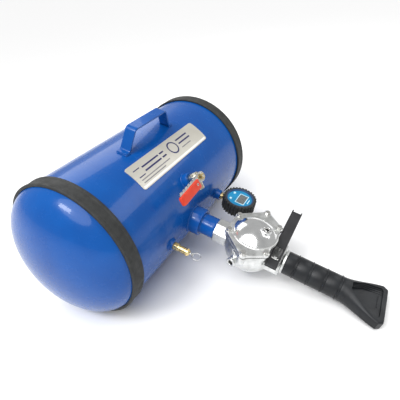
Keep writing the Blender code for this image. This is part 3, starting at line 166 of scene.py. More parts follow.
looks = {
    "blue_enamel": {"colour": (0.003, 0.084, 0.350), "shade": (0.003, 0.068, 0.300), "roughness": (0.20, 0.30),
                    "toneScale": 9, "coat": 0.30, "coatRoughness": 0.05, "specular": 0.15, "grain": 0.02,
                    "swell": 0.025, "swellScale": 220},
    "black_rubber": {"colour": (0.036, 0.038, 0.037), "shade": (0.021, 0.022, 0.022), "roughness": (0.55, 0.80),
                     "toneScale": 70, "grain": 0.5, "grainScale": 1400, "swell": 0.15},
    "label_silver": {"colour": (0.60, 0.58, 0.52), "shade": (0.52, 0.50, 0.44), "roughness": (0.28, 0.42),
                     "metallic": 0.35, "toneScale": 12, "stretch": (6, 60, 60), "grain": 0.06},
    "cast_aluminium": {"colour": (0.84, 0.85, 0.84), "shade": (0.60, 0.61, 0.60), "roughness": (0.26, 0.46),
                       "metallic": 1.0, "toneScale": 55, "grain": 0.35, "grainScale": 700, "swell": 0.30,
                       "swellScale": 190},
    "polished_aluminium": {"colour": (0.92, 0.93, 0.93), "shade": (0.80, 0.81, 0.81), "roughness": (0.09, 0.22),
                           "metallic": 1.0, "toneScale": 30, "wearScale": 35, "grain": 0.05, "swell": 0.10,
                           "swellScale": 60},
    "zinc_steel": {"colour": (0.72, 0.72, 0.70), "shade": (0.56, 0.56, 0.54), "roughness": (0.20, 0.40),
                   "metallic": 1.0, "toneScale": 140, "grain": 0.15, "swell": 0.05},
    "spring_steel": {"colour": (0.50, 0.50, 0.52), "shade": (0.34, 0.34, 0.36), "roughness": (0.25, 0.40),
                     "metallic": 1.0, "toneScale": 200, "grain": 0.1},
    "brass": {"colour": (0.80, 0.66, 0.36), "shade": (0.62, 0.47, 0.21), "roughness": (0.18, 0.36),
              "metallic": 1.0, "toneScale": 90, "grain": 0.15, "swell": 0.05},
    "nickel_plate": {"colour": (0.74, 0.71, 0.60), "shade": (0.60, 0.55, 0.42), "roughness": (0.16, 0.32),
                     "metallic": 1.0, "toneScale": 80, "grain": 0.12, "swell": 0.08},
    "black_lacquer": {"colour": (0.026, 0.026, 0.028), "shade": (0.017, 0.017, 0.019), "roughness": (0.42, 0.58),
                      "toneScale": 60, "grain": 0.35, "grainScale": 1100, "swell": 0.10},
    "black_plastic": {"colour": (0.018, 0.020, 0.023), "shade": (0.012, 0.013, 0.015), "roughness": (0.36, 0.48),
                      "specular": 0.3, "toneScale": 40, "grain": 0.30, "grainScale": 1300, "swell": 0.04},
    "red_vinyl": {"colour": (0.70, 0.055, 0.020), "shade": (0.60, 0.036, 0.013), "roughness": (0.30, 0.42),
                  "toneScale": 60, "grain": 0.06, "swell": 0.08},
    "gauge_case_blue": {"colour": (0.030, 0.080, 0.200), "shade": (0.020, 0.050, 0.130), "roughness": (0.35, 0.5),
                        "toneScale": 80, "grain": 0.2},
    "gauge_face_cyan": {"colour": (0.010, 0.250, 0.480), "shade": (0.008, 0.205, 0.410), "roughness": (0.24, 0.34),
                        "toneScale": 40, "grain": 0.04},
    "display_grey": {"colour": (0.060, 0.068, 0.066), "shade": (0.045, 0.051, 0.050), "roughness": (0.2, 0.3),
                     "toneScale": 90, "grain": 0.02},
    "clear_plastic": {"colour": (0.85, 0.90, 0.92), "shade": (0.80, 0.86, 0.88), "roughness": (0.04, 0.12),
                      "toneScale": 50, "alpha": 0.06, "grain": 0.01, "swell": 0.01},
    "button_white": {"colour": (0.62, 0.86, 0.95), "shade": (0.52, 0.78, 0.90), "roughness": (0.25, 0.38),
                     "toneScale": 90, "grain": 0.05},
    "print_navy": {"colour": (0.020, 0.022, 0.110), "shade": (0.014, 0.015, 0.080), "roughness": (0.3, 0.45),
                   "toneScale": 60, "grain": 0.05},
    "print_grey": {"colour": (0.24, 0.23, 0.24), "shade": (0.16, 0.15, 0.17), "roughness": (0.3, 0.45),
                   "toneScale": 60, "grain": 0.05},
    "print_white": {"colour": (0.86, 0.85, 0.82), "shade": (0.78, 0.77, 0.74), "roughness": (0.25, 0.4),
                    "toneScale": 30, "grain": 0.04},
    # near-black painted shade for the floors of holes and sockets and for cut faces; the real surfaces there are
    # metal or vinyl
    "dark_bore": {"colour": (0.012, 0.012, 0.013), "shade": (0.006, 0.006, 0.007), "roughness": (0.6, 0.8),
                  "toneScale": 60, "grain": 0.3},
}
finishes = {name: makeFinish(name, look) for name, look in looks.items()}
print("finishes made:", len(finishes))


# Shape tools

def roundCorners(points, radius, steps=4, closed=True):
    # each corner gives way to a short curve; a corner on the axis of a turned profile stays
    result = []
    count = len(points)
    for i, (x, y) in enumerate(points):
        if not closed and i in (0, count - 1):
            result.append((x, y))
            continue
        before, after = points[i - 1], points[(i + 1) % count]
        lengthA, lengthB = hypot(before[0] - x, before[1] - y), hypot(after[0] - x, after[1] - y)
        reach = min(radius, 0.45 * lengthA, 0.45 * lengthB)
        if reach < 1e-6:
            result.append((x, y))
            continue
        start = (x + (before[0] - x) * reach / lengthA, y + (before[1] - y) * reach / lengthA)
        end = (x + (after[0] - x) * reach / lengthB, y + (after[1] - y) * reach / lengthB)
        for step in range(steps + 1):
            t = step / steps
            u = 1 - t
            result.append((u * u * start[0] + 2 * u * t * x + t * t * end[0],
                           u * u * start[1] + 2 * u * t * y + t * t * end[1]))
    return result


def arcPoints(radius, first, last, steps, middle=(0.0, 0.0)):
    angles = [radians(first + (last - first) * i / steps) for i in range(steps + 1)]
    return [(middle[0] + radius * cos(a), middle[1] + radius * sin(a)) for a in angles]


def polygonPoints(radius, sides, start=0.0):
    angles = [radians(start) + 2 * pi * i / sides for i in range(sides)]
    return [(radius * cos(angle), radius * sin(angle)) for angle in angles]


def revolve(profile, sides=96, soft=0.0):
    # a closed outline of (radius, height) turned about Z; soft rounds its corners first
    inner = profile[0][0] > 1e-6 and profile[-1][0] > 1e-6
    if soft:
        profile = roundCorners(profile, soft, 4, closed=inner)
    shape = bmesh.new()
    rings = []
    for radius, height in profile:
        if radius < 1e-6:
            rings.append([shape.verts.new((0, 0, height))])
        else:
            rings.append([shape.verts.new((x, y, height)) for x, y in polygonPoints(radius, sides)])
    pairs = list(zip(rings, rings[1:])) + ([(rings[-1], rings[0])] if inner else [])
    for low, high in pairs:
        if len(low) == len(high) == 1:
            continue
        for i in range(sides):
            j = (i + 1) % sides
            corners = (low[i % len(low)], low[j % len(low)], high[j % len(high)], high[i % len(high)])
            shape.faces.new(list(dict.fromkeys(corners)))
    return shape


def rod(radius, low, high, sides=96, soft=0.0):
    return revolve([(0, low), (radius, low), (radius, high), (0, high)], sides, soft)


def sleeve(bore, radius, low, high, sides=96, soft=0.0):
    return revolve([(bore, low), (radius, low), (radius, high), (bore, high)], sides, soft)


def nutShape(radius, start, soft, low, high):
    return prism(roundCorners(polygonPoints(radius, 6, start), soft, 3), low, high)


def prism(outline, low, high):
    shape = bmesh.new()
    floor = [shape.verts.new((x, y, low)) for x, y in outline]
    roof = [shape.verts.new((x, y, high)) for x, y in outline]
    shape.faces.new(floor[::-1])
    shape.faces.new(roof)
    for i in range(len(outline)):
        j = (i + 1) % len(outline)
        shape.faces.new((floor[i], floor[j], roof[j], roof[i]))
    return shape


def block(x, y, z):
    return prism(rectangle(x, y), *z)


def bezel(outer, inner, levels):
    # a four-sided frame that steps in from its outer edge to its opening
    shape = bmesh.new()
    rings = [[shape.verts.new((x, y, z)) for x, y in outline]
             for outline, z in zip((outer, outer, inner, inner), levels)]
    for i in range(4):
        j = (i + 1) % 4
        for a, b in zip(rings, rings[1:] + rings[:1]):
            shape.faces.new((a[i], a[j], b[j], b[i]))
    return shape


def rectangle(x, y, grow=0.0):
    left, right, near, far = x[0] - grow, x[1] + grow, y[0] - grow, y[1] + grow
    return [(left, near), (right, near), (right, far), (left, far)]


def loft(sections, closed=False):
    shape = bmesh.new()
    rings = [[shape.verts.new(point) for point in section] for section in sections]
    pairs = list(zip(rings, rings[1:])) + ([(rings[-1], rings[0])] if closed else [])
    for low, high in pairs:
        for i in range(len(low)):
            j = (i + 1) % len(low)
            shape.faces.new((low[i], low[j], high[j], high[i]))
    if not closed:
        shape.faces.new(rings[0][::-1])
        shape.faces.new(rings[-1])
    return shape


def tube(path, radius, sides=12, closed=False, ripple=0.0, seed=0.0):
    # a round bar along a path; ripple makes it uneven, as a weld bead is
    points = [Vector(point) for point in path]
    count = len(points)
    sections = []
    side = None
    for i, point in enumerate(points):
        ahead = points[(i + 1) % count] if closed or i < count - 1 else point
        behind = points[i - 1] if closed or i else point
        forward = (ahead - behind).normalized()
        if side is None:
            side = forward.orthogonal().normalized()
        side = (side - forward * side.dot(forward)).normalized()
        up = forward.cross(side)
        thick = radius * (1 + ripple * sin(i * 2.1 + seed) + 0.6 * ripple * noise.noise(point * 400))
        sections.append([point + (side * cos(2 * pi * k / sides) + up * sin(2 * pi * k / sides)) * thick
                         for k in range(sides)])
    return loft(sections, closed=closed)


def addObject(name, data):
    thing = bpy.data.objects.new(name, data)
    bpy.context.scene.collection.objects.link(thing)
    return thing


def softenEdges(piece, width, segments=2, limit=30, harden=False):
    edge = piece.modifiers.new("edge", "BEVEL")
    edge.width = width
    edge.segments = segments
    edge.limit_method = "ANGLE"
    edge.angle_limit = radians(limit)
    edge.harden_normals = harden


def shadeSmooth(piece, angle):
    piece.data.shade_smooth()
    piece.data.set_sharp_from_angle(angle=radians(angle))


def claim(piece, body, node):
    # for a piece whose shape was finished after it was placed
    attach(piece, body)
    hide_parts(node)


def place(name, shape, finish, where, body, nodesHidden=(), bevel=0.0, angle=35, slotName=None):
    # a finished piece: smooth-shaded, bevelled if asked, riding on its body
    bmesh.ops.recalc_face_normals(shape, faces=shape.faces)
    shape.transform(where)
    mesh = bpy.data.meshes.new(name)
    shape.to_mesh(mesh)
    shape.free()
    piece = addObject(name, mesh)
    for kind in (finish if isinstance(finish, (list, tuple)) else [finish]):
        mesh.materials.append(finishes[kind])
    shadeSmooth(piece, angle)
    if bevel:
        softenEdges(piece, bevel, 3, harden=True)
    if body:
        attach(piece, body)
    if nodesHidden:
        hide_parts(*nodesHidden)
    return piece


def scratch(shape, where):
    # a helper that is cut from, or joined to, another piece, and then removed
    return place("helper", shape, "dark_bore", where, None)


def settle(piece):
    # the piece keeps the shape that its modifiers give it
    bpy.context.view_layer.update()
    shown = piece.evaluated_get(bpy.context.evaluated_depsgraph_get())
    mesh = bpy.data.meshes.new_from_object(shown)
    old = piece.data
    piece.modifiers.clear()
    piece.data = mesh
    bpy.data.meshes.remove(old)


def combine(piece, operation, helpers):
    for helper in helpers:
        step = piece.modifiers.new(operation, "BOOLEAN")
        step.operation = operation
        step.solver = "EXACT"
        step.object = helper
    settle(piece)
    for helper in helpers:
        bpy.data.objects.remove(helper, do_unlink=True)


def castSurface(piece, voxel, passes):
    # melts the edges and corners together as a casting's are
    step = piece.modifiers.new("melt", "REMESH")
    step.mode = "VOXEL"
    step.voxel_size = voxel
    step.use_smooth_shade = True
    relax = piece.modifiers.new("relax", "SMOOTH")
    relax.factor = 0.5
    relax.iterations = passes
    settle(piece)
    piece.data.shade_smooth()
    piece.data.materials.clear()
    piece.data.materials.append(finishes["cast_aluminium"])


def weldRing(name, radius, where, bead):
    # a bead where a round port of this radius meets the shell
    path = []
    reach = radius + bead * 0.3
    count = max(48, int(radius * 2 * pi / (1.1 * mm)))
    for i in range(count):
        angle = 2 * pi * i / count
        across = reach * sin(angle)
        path.append((reach * cos(angle), across, sqrt(tank["radius"] ** 2 - across ** 2) + bead * 0.1))
    place(name, tube(path, bead, 10, closed=True, ripple=0.10), "blue_enamel", where, "tank")


# Tank shell, heads and bumpers

def makeTank():
    half = tank["tangent"] - tank["skirt"] - 0.3 * mm
    radius, inner = tank["radius"], tank["radius"] - tank["wall"]
    skin = [(inner, -half), (radius, -half), (radius, 0), (radius, half), (inner, half)]
    place("tankSkin", revolve(skin, tank["sides"]), "blue_enamel", tankFrame @ turnY(90), "tank", ["tank_shell"])
    depth = radius / 2
    for name, node, side in (("nearHeadSkin", "near_head", -1), ("farHeadSkin", "far_head", 1)):
        inside = depth - tank["wall"]
        outline = [(0, inside)] + [(inner * x, inside * y) for x, y in arcPoints(1, 88, 0, 18)]
        outline += [(inner, -tank["skirt"]), (radius, -tank["skirt"])]
        outline += [(radius * x, depth * y) for x, y in arcPoints(1, 0, 89, 36)] + [(0, depth)]
        where = tankFrame @ shift(side * tank["tangent"]) @ turnY(side * 90)
        place(name, revolve(outline, tank["sides"]), "blue_enamel", where, "tank", [node])
    # the long seam, at the back below the middle
    angle, reach, steps = radians(tank["seamAngle"]), radius - 0.5 * mm, 259
    seam = [(-half + 2 * half * i / steps, reach * cos(angle), reach * sin(angle)) for i in range(steps + 1)]
    place("shellSeam", tube(seam, 1.9 * mm, 8, ripple=0.12), "blue_enamel", tankFrame, "tank")
    print("tank made")


bumper = {"inboard": -19.0 * mm, "outboard": 12.4 * mm, "groove": 0.7 * mm}


def headRadius(outboard):
    return tank["radius"] * sqrt(1 - (outboard / (tank["radius"] / 2)) ** 2)


def makeBumpers():
    outer = (ringHigh.z - ringLow.z) / 2
    low, high = bumper["inboard"], bumper["outboard"]
    bore = tank["radius"] + 0.5 * mm
    outline = [(bore, low), (outer - 0.8 * mm, low), (outer, low + 1.5 * mm), (outer, low + 6 * mm),
               (outer - bumper["groove"], low + 7 * mm), (outer - bumper["groove"], high - 7 * mm),
               (outer, high - 6 * mm), (outer, high - 1.0 * mm), (outer - 1.6 * mm, high)]
    outline += [(headRadius(share * high) + 0.5 * mm, share * high) for share in (1.0, 0.8, 0.6, 0.4, 0.2, 0.0)]
    for name, node, side in (("nearBumperRing", "near_bumper", -1), ("farBumperRing", "far_bumper", 1)):
        shape = revolve(roundCorners(outline, 1.4 * mm, 3), tank["sides"])
        where = floorFrame @ shift(side * tank["tangent"]) @ turnY(side * 90)
        place(name, shape, "black_rubber", where, "tank", [node])
    print("bumpers made")


# Carrying handle, a bent strap

handle = {"x": -7.0 * mm, "topHalf": 57.0 * mm, "footHalf": 77.0 * mm, "flange": 10.0 * mm, "height": 50.0 * mm,
          "width": 25.0 * mm, "strap": 4.0 * mm, "bend": 7.0 * mm}


def makeHandle():
    foot = tank["radius"] + 0.3 * mm + handle["strap"] / 2
    top = tank["radius"] + handle["height"] - handle["strap"] / 2
    half = [(handle["footHalf"] + handle["flange"], foot), (handle["footHalf"] - 2.2 * mm, foot),
            (handle["topHalf"] - 0.8 * mm, top)]
    path = roundCorners(half + [(-x, z) for x, z in half[::-1]], handle["bend"], 6, closed=False)
    left, right = [], []
    for i, (x, z) in enumerate(path):
        ahead = path[min(i + 1, len(path) - 1)]
        behind = path[max(i - 1, 0)]
        along = Vector((ahead[0] - behind[0], ahead[1] - behind[1])).normalized() * handle["strap"] / 2
        left.append((x - along.y, z + along.x))
        right.append((x + along.y, z - along.x))
    shape = prism(left + right[::-1], -handle["width"] / 2, handle["width"] / 2)
    place("handleStrap", shape, "blue_enamel", tankFrame @ shift(handle["x"]) @ turnX(90), "tank", ["carry_handle"],
          bevel=0.7 * mm)
    for side in (-1, 1):
        end = handle["footHalf"] + handle["flange"]
        y = handle["width"] / 2
        low = tank["radius"]
        back = side * (end - 14 * mm)
        corners = roundCorners([(back, y), (side * end, y), (side * end, -y), (back, -y)], 3 * mm, 5, closed=False)
        dense = []
        for (x0, y0), (x1, y1) in zip(corners, corners[1:]):
            steps = max(1, int(hypot(x1 - x0, y1 - y0) / (0.9 * mm)))
            for i in range(steps):
                x, across = x0 + (x1 - x0) * i / steps, y0 + (y1 - y0) * i / steps
                dense.append((x, across, sqrt(low ** 2 - across ** 2) + 1.0 * mm))
        place(f"handleWeld{'Near' if side < 0 else 'Far'}", tube(dense, 1.7 * mm, 10, ripple=0.14), "blue_enamel",
              tankFrame @ shift(handle["x"]), "tank")
    print("handle made")


# Label: a thin curved sheet with plain printed shapes

label = {"ends": (-133.5 * mm, 128.0 * mm), "angles": (55.1, 76.7), "thick": 0.8 * mm, "ink": 0.12 * mm,
         "corner": 5.0 * mm,
         "bars": ((0, (0, 20), (24, 44)), (0, (26, 84), (28, 42)), (0, (89, 104), (28, 42)),
                  (1, (0, 102), (17, 19.4)), (1, (0, 78), (10.5, 12.9)), (0, (158, 206), (30, 44)),
                  (1, (158, 196), (19, 21.4)))}


def labelPatch(shape, kind, x, up, outline=None):
    # a printed patch; x runs along the tank and up is the length round the shell from the label's lower edge
    low = tank["radius"] + 0.3 * mm + label["thick"]
    base = radians(label["angles"][0])

    def onShell(px, py, radius):
        angle = base + py / (tank["radius"] + 0.3 * mm)
        return (px, -radius * cos(angle), radius * sin(angle))

    if outline is None:
        outline = rectangle(x, up)
    floor = [shape.verts.new(onShell(px, py, low)) for px, py in outline]
    roof = [shape.verts.new(onShell(px, py, low + label["ink"])) for px, py in outline]
    faces = [shape.faces.new(floor[::-1]), shape.faces.new(roof)]
    for i in range(len(outline)):
        j = (i + 1) % len(outline)
        faces.append(shape.faces.new((floor[i], floor[j], roof[j], roof[i])))
    for face in faces:
        face.material_index = kind


def makeLabel():
    radius = tank["radius"] + 0.3 * mm
    span = radians(label["angles"][1] - label["angles"][0]) * radius
    first, last = label["ends"]
    rows = 28
    shape = bmesh.new()
    rings = []
    for i in range(rows + 1):
        up = span * i / rows
        edge = max(0.0, label["corner"] - min(up, span - up))
        inset = label["corner"] - sqrt(max(0.0, label["corner"] ** 2 - edge ** 2))
        angle = radians(label["angles"][0]) + up / radius
        ring = []
        for x, r in ((first + inset, radius), (last - inset, radius), (last - inset, radius + label["thick"]),
                     (first + inset, radius + label["thick"])):
            ring.append(shape.verts.new((x, -r * cos(angle), r * sin(angle))))
        rings.append(ring)
    for low, high in zip(rings, rings[1:]):
        for i in range(4):
            j = (i + 1) % 4
            shape.faces.new((low[i], low[j], high[j], high[i]))
    shape.faces.new(rings[0][::-1])
    shape.faces.new(rings[-1])
    place("labelSheet", shape, "label_silver", tankFrame, "tank", ["nameplate"])

    # plain marks: a square, a few bars, thin rows, a ring and a pale border
    marks = bmesh.new()
    navy, white = 0, 2
    start = first + 12 * mm
    for kind, along, up in label["bars"]:
        labelPatch(marks, kind, [start + value * mm for value in along], [value * mm for value in up])
    labelPatch(marks, white, (first + 4 * mm, last - 4 * mm), (2.0 * mm, 7.0 * mm))
    centre = (start + 135 * mm, 33 * mm)
    outer = arcPoints(16 * mm, 0, 360, 40, centre)
    inner = arcPoints(12.6 * mm, 0, 360, 40, centre)
    for i in range(40):
        labelPatch(marks, navy, None, None, outline=[outer[i], outer[i + 1], inner[i + 1], inner[i]])
    inks = ["print_navy", "print_grey", "print_white"]
    place("labelPrint", marks, inks, tankFrame, "tank", slotName="label_silver")
    print("label made")


# Ports: bungs, drain, coupling and pipe

ports = {"bung": 13.0 * mm, "inletBung": 16.0 * mm, "bore": 6.8 * mm, "stand": 14.0 * mm, "reliefStand": 6.0 * mm,
         "sink": 10.0 * mm, "coupling": 32.0 * mm, "couplingHeight": 25.0 * mm, "pipe": 24.15 * mm,
         "pipeBore": 20.5 * mm, "socket": 14.0 * mm, "low": 142.4 * mm}


def makePorts():
    low = tank["radius"] - ports["sink"]
    for name, node, where, size, stand in (("inletBung", "inlet_bung", inletFrame, "inletBung", "stand"),
                                           ("gaugeBung", "gauge_bung", gaugeLine, "bung", "stand"),
                                           ("reliefBung", "safety_bung", reliefFrame, "bung", "reliefStand")):
        shape = sleeve(ports["bore"], ports[size], low, tank["radius"] + ports[stand], 72, 1.2 * mm)
        place(name, shape, "blue_enamel", where, "tank", [node])
        weldRing(f"{name}Weld", ports[size], where, 1.9 * mm)
    flush = tank["radius"] + 2 * mm
    shape = sleeve(ports["bore"], ports["bung"], low, flush, 72, 0.9 * mm)
    place("drainBung", shape, "blue_enamel", drainFrame, "tank", ["drain_bung"])
    weldRing("drainWeld", ports["bung"], drainFrame, 1.6 * mm)
    plug = place("drainPlug", rod(6.5 * mm, low, flush - 1 * mm, 48, 0.6 * mm), "brass", drainFrame, "tank",
                 ["drain_plug"])
    key = prism(polygonPoints(3.6 * mm, 6), flush - 6 * mm, flush + 2 * mm)
    combine(plug, "DIFFERENCE", [scratch(key, drainFrame)])

    end = tank["radius"] + ports["couplingHeight"]
    socket = end - ports["socket"]
    outline = [(ports["pipeBore"], low), (ports["coupling"], low), (ports["coupling"], end),
               (ports["pipe"] + 1.4 * mm, end), (ports["pipe"] + 0.3 * mm, end - 1.4 * mm),
               (ports["pipe"] + 0.3 * mm, socket), (ports["pipeBore"], socket)]
    place("outletCoupling", revolve(outline, 128, 1.3 * mm), "blue_enamel", outletFrame, "tank", ["outlet_coupling"])
    weldRing("outletWeld", ports["coupling"], outletFrame, 2.4 * mm)
    # the last turns of thread at each end show beside the fittings
    radius, neck = ports["pipe"], tank["neckEnd"]
    pipe = [(ports["pipeBore"], socket + 0.3 * mm), (radius, socket + 0.3 * mm)]
    for z in (end + 0.8 * mm, end + 2.7 * mm):
        pipe += [(radius, z), (radius - 0.5 * mm, z + 0.95 * mm)]
    pipe += [(radius, end + 5 * mm), (radius, neck - 5 * mm)]
    for z in (neck - 4.4 * mm, neck - 2.5 * mm):
        pipe += [(radius, z), (radius - 0.5 * mm, z + 0.95 * mm)]
    pipe += [(radius, neck + 13.7 * mm), (ports["pipeBore"], neck + 13.7 * mm)]
    place("outletPipe", revolve(pipe, 128), "blue_enamel", outletFrame, "tank", ["outlet_nipple"], angle=50)
    print("ports made")


makeTank()
makeBumpers()
makeHandle()
makeLabel()
makePorts()


# Dump valve: cast body and cover, polished dome, bolts

valve = {"bowl": 58.5 * mm, "neck": 29.0 * mm, "corners": ((32, 57), (82, -1), (50, -45.5)),
         "flange": (26.0 * mm, 34.4 * mm), "cover": (36.0 * mm, 43.0 * mm), "dome": 48.5 * mm,
         "domeHeight": 19.0 * mm, "boltInset": 8.0 * mm, "vent": 10.5 * mm, "ventReach": 73.0 * mm,
         "ventBore": 5.5 * mm, "port": 10.5 * mm,
         "portOffset": 22.0 * mm, "boreTop": 49.2 * mm, "ventTurn": -15.5, "voxel": 0.9 * mm}


def insetCorners(inset):
    half = [(x * mm, y * mm) for x, y in valve["corners"]]
    points = half + [(-x, y) for x, y in half[::-1]]
    return [(x * (1 - inset / hypot(x, y)), y * (1 - inset / hypot(x, y))) for x, y in points]


def flangePoints(soft=5.0 * mm, shrink=0.0):
    return roundCorners(insetCorners(shrink), soft, 5)


def boltSpots():
    return insetCorners(valve["boltInset"])


def makeValveBody():
    low, high = valve["flange"]
    bowl = [(0, -valve["bowl"])] + arcPoints(valve["bowl"], -88, 0, 30)
    bowl += [(valve["bowl"], high - 3 * mm), (0, high - 3 * mm)]
    body = place("valveCasting", revolve(bowl, 96), "cast_aluminium", valveFrame, None)
    neck = prism(polygonPoints(valve["neck"], 8, 22.5), tank["neckEnd"], tank["valveMiddle"] - 28 * mm)
    collar = rod(27.5 * mm, tank["neckEnd"] + 33 * mm, tank["valveMiddle"] - 20 * mm, 48)
    ventFrame = valveFrame @ shift(0, 0, -3 * mm) @ turnZ(valve["ventTurn"]) @ turnY(-90)
    vent = revolve([(0, 43 * mm), (9.0 * mm, 43 * mm), (9.0 * mm, 64 * mm), (valve["vent"], 66.5 * mm),
                    (valve["vent"], valve["ventReach"]), (0, valve["ventReach"])], 40)
    web = block((-60 * mm, -30 * mm), (4 * mm, 11 * mm), (-14 * mm, 20 * mm))
    shelf = block((-45 * mm, 42 * mm), (-74 * mm, -45.02 * mm), (-2 * mm, 9.5 * mm))
    underShelf = block((-25 * mm, 25 * mm), (-77 * mm, -42 * mm), (-24 * mm, 7.5 * mm))
    combine(body, "UNION", [scratch(neck, outletFrame), scratch(collar, outletFrame), scratch(vent, ventFrame),
                            scratch(web, valveFrame @ turnZ(valve["ventTurn"])),
                            scratch(prism(flangePoints(), low, high), valveFrame), scratch(shelf, valveFrame),
                            scratch(underShelf, valveFrame)])
    # the barrel and the trigger pass close by on this side
    room = block((-95 * mm, 95 * mm), (-80 * mm, -46 * mm), (8.5 * mm, high + 5 * mm))
    combine(body, "DIFFERENCE", [scratch(room, valveFrame)])
    boss = [(0, low - 9 * mm), (8.6 * mm, low - 9 * mm), (9.4 * mm, high), (0, high)]
    bosses = [scratch(revolve(boss, 28), valveFrame @ shift(x, y)) for x, y in boltSpots()[:2] + boltSpots()[4:]]
    for x, z in (((-43.5 * mm, -34.5 * mm), (-1 * mm, 8 * mm)), ((-24.5 * mm, -15.5 * mm), (-1 * mm, 18.5 * mm))):
        bosses.append(scratch(block(x, (-64 * mm, -55 * mm), z), valveFrame))
    combine(body, "UNION", bosses)
    combine(body, "DIFFERENCE", [scratch(rod(valve["ventBore"], 38 * mm, 80 * mm, 32), ventFrame),
                                 scratch(rod(24.45 * mm, 195 * mm, 227 * mm, 64), outletFrame)])
    castSurface(body, valve["voxel"], 3)
    claim(body, "tank", "valve_body")
    print("valve body made")


def makeValveCover():
    low, high = valve["cover"]
    plate = place("coverCasting", prism(flangePoints(), low, high), "cast_aluminium", valveFrame, None)
    rim = [scratch(rod(valve["dome"] + 2.5 * mm, low + 1 * mm, high + 1.6 * mm, 96), valveFrame)]
    for x, y in boltSpots():
        rim.append(scratch(revolve([(0, low + 1 * mm), (9.6 * mm, low + 1 * mm), (8.6 * mm, high + 0.2 * mm),
                                    (0, high + 0.2 * mm)], 28), valveFrame @ shift(x, y)))
    combine(plate, "UNION", rim)
    castSurface(plate, valve["voxel"], 3)
    claim(plate, "tank", "valve_cover")
    ball = (valve["dome"] ** 2 + valve["domeHeight"] ** 2) / (2 * valve["domeHeight"])
    middle = high + valve["domeHeight"] - ball
    start = degrees(atan2(high - middle, valve["dome"]))
    skin = [(0, high - 2 * mm), (valve["dome"] - 3 * mm, high - 2 * mm), (valve["dome"] - 0.5 * mm, high + 1.2 * mm)]
    skin += arcPoints(ball, start + 3, 89.9, 40, (0, middle)) + [(0, middle + ball)]
    place("coverDome", revolve(skin, 160), "polished_aluminium", valveFrame, "tank", angle=60,
          slotName="cast_aluminium")
    top = high + valve["domeHeight"]
    boss = [(6.6 * mm, high), (valve["port"], high), (valve["port"], top + 0.4 * mm), (7.7 * mm, top + 0.4 * mm),
            (7.7 * mm, top - 6 * mm), (6.6 * mm, top - 6 * mm)]
    portFrame = valveFrame @ shift(0, -valve["portOffset"])
    port = place("coverPort", revolve(boss, 72, 0.8 * mm), "polished_aluminium", portFrame, "tank",
                 slotName="cast_aluminium")
    combine(port, "DIFFERENCE", [scratch(rod(34.5 * mm, 20 * mm, valve["boreTop"], 96), valveFrame)])
    # the plug's second finish is painted shade, meant for its hex socket
    plug = place("coverPlug", rod(7.5 * mm, top - 6 * mm, top - 0.2 * mm, 48, 0.5 * mm),
                 ["zinc_steel", "dark_bore"], portFrame, "tank", ["cover_plug"])
    key = prism(polygonPoints(4.9 * mm, 6), top - 4.6 * mm, top + 3 * mm)
    combine(plug, "DIFFERENCE", [scratch(key, portFrame)])
    # a dark hex sheet at the bottom of the plug's socket: painted shade, where the real floor is zinc steel
    place("coverPlugPaintedShade", prism(polygonPoints(4.95 * mm, 6), top - 4.9 * mm, top - 4.3 * mm), "dark_bore",
          portFrame, "tank", slotName="zinc_steel")
    # gasket: a thin dark line between the two flanges
    place("coverGasket", prism(flangePoints(5 * mm, 0.9 * mm), 34.5 * mm, 35.9 * mm), "black_rubber", valveFrame,
          "tank", ["cover_gasket"])
    print("valve cover made")


def makeBolts():
    seat = valve["cover"][1] + 0.3 * mm
    for number, (x, y) in enumerate(boltSpots(), 1):
        head = roundCorners(polygonPoints(6.6 * mm, 6, 11 * number), 0.5 * mm, 2)
        shape = prism(head, seat + 1.0 * mm, seat + 4.9 * mm)
        where = valveFrame @ shift(x, y)
        place(f"coverBolt{number}", shape, "zinc_steel", where, "tank", [f"cover_bolt_{number}"], bevel=0.5 * mm)
        washer = sleeve(4 * mm, 7.0 * mm, seat, seat + 1.1 * mm, 40, 0.3 * mm)
        place(f"boltWasher{number}", washer, "zinc_steel", where, "tank")
        dimple = [(0, seat + 4.4 * mm), (3.4 * mm, seat + 4.4 * mm), (3.0 * mm, seat + 4.95 * mm),
                  (0, seat + 4.8 * mm)]
        place(f"boltDimple{number}", revolve(dimple, 32), "zinc_steel", where, "tank")
    print("bolts made")


# Trigger, its pin, plunger and spring

trigger = {"ends": (-25.4 * mm, 143.2 * mm), "half": 12.0 * mm, "sheet": 2.0 * mm, "window": (-8.12 * mm, 26.4 * mm),
           "windowHalf": 8.0 * mm, "step": 58 * mm, "stepDrop": 2.5 * mm, "lipInset": 1.2 * mm, "lipReach": 2.2 * mm}
triggerTop = (20.0 * mm - 15.0 * mm + 25.4 * mm * sin(radians(10))) * cos(radians(10))


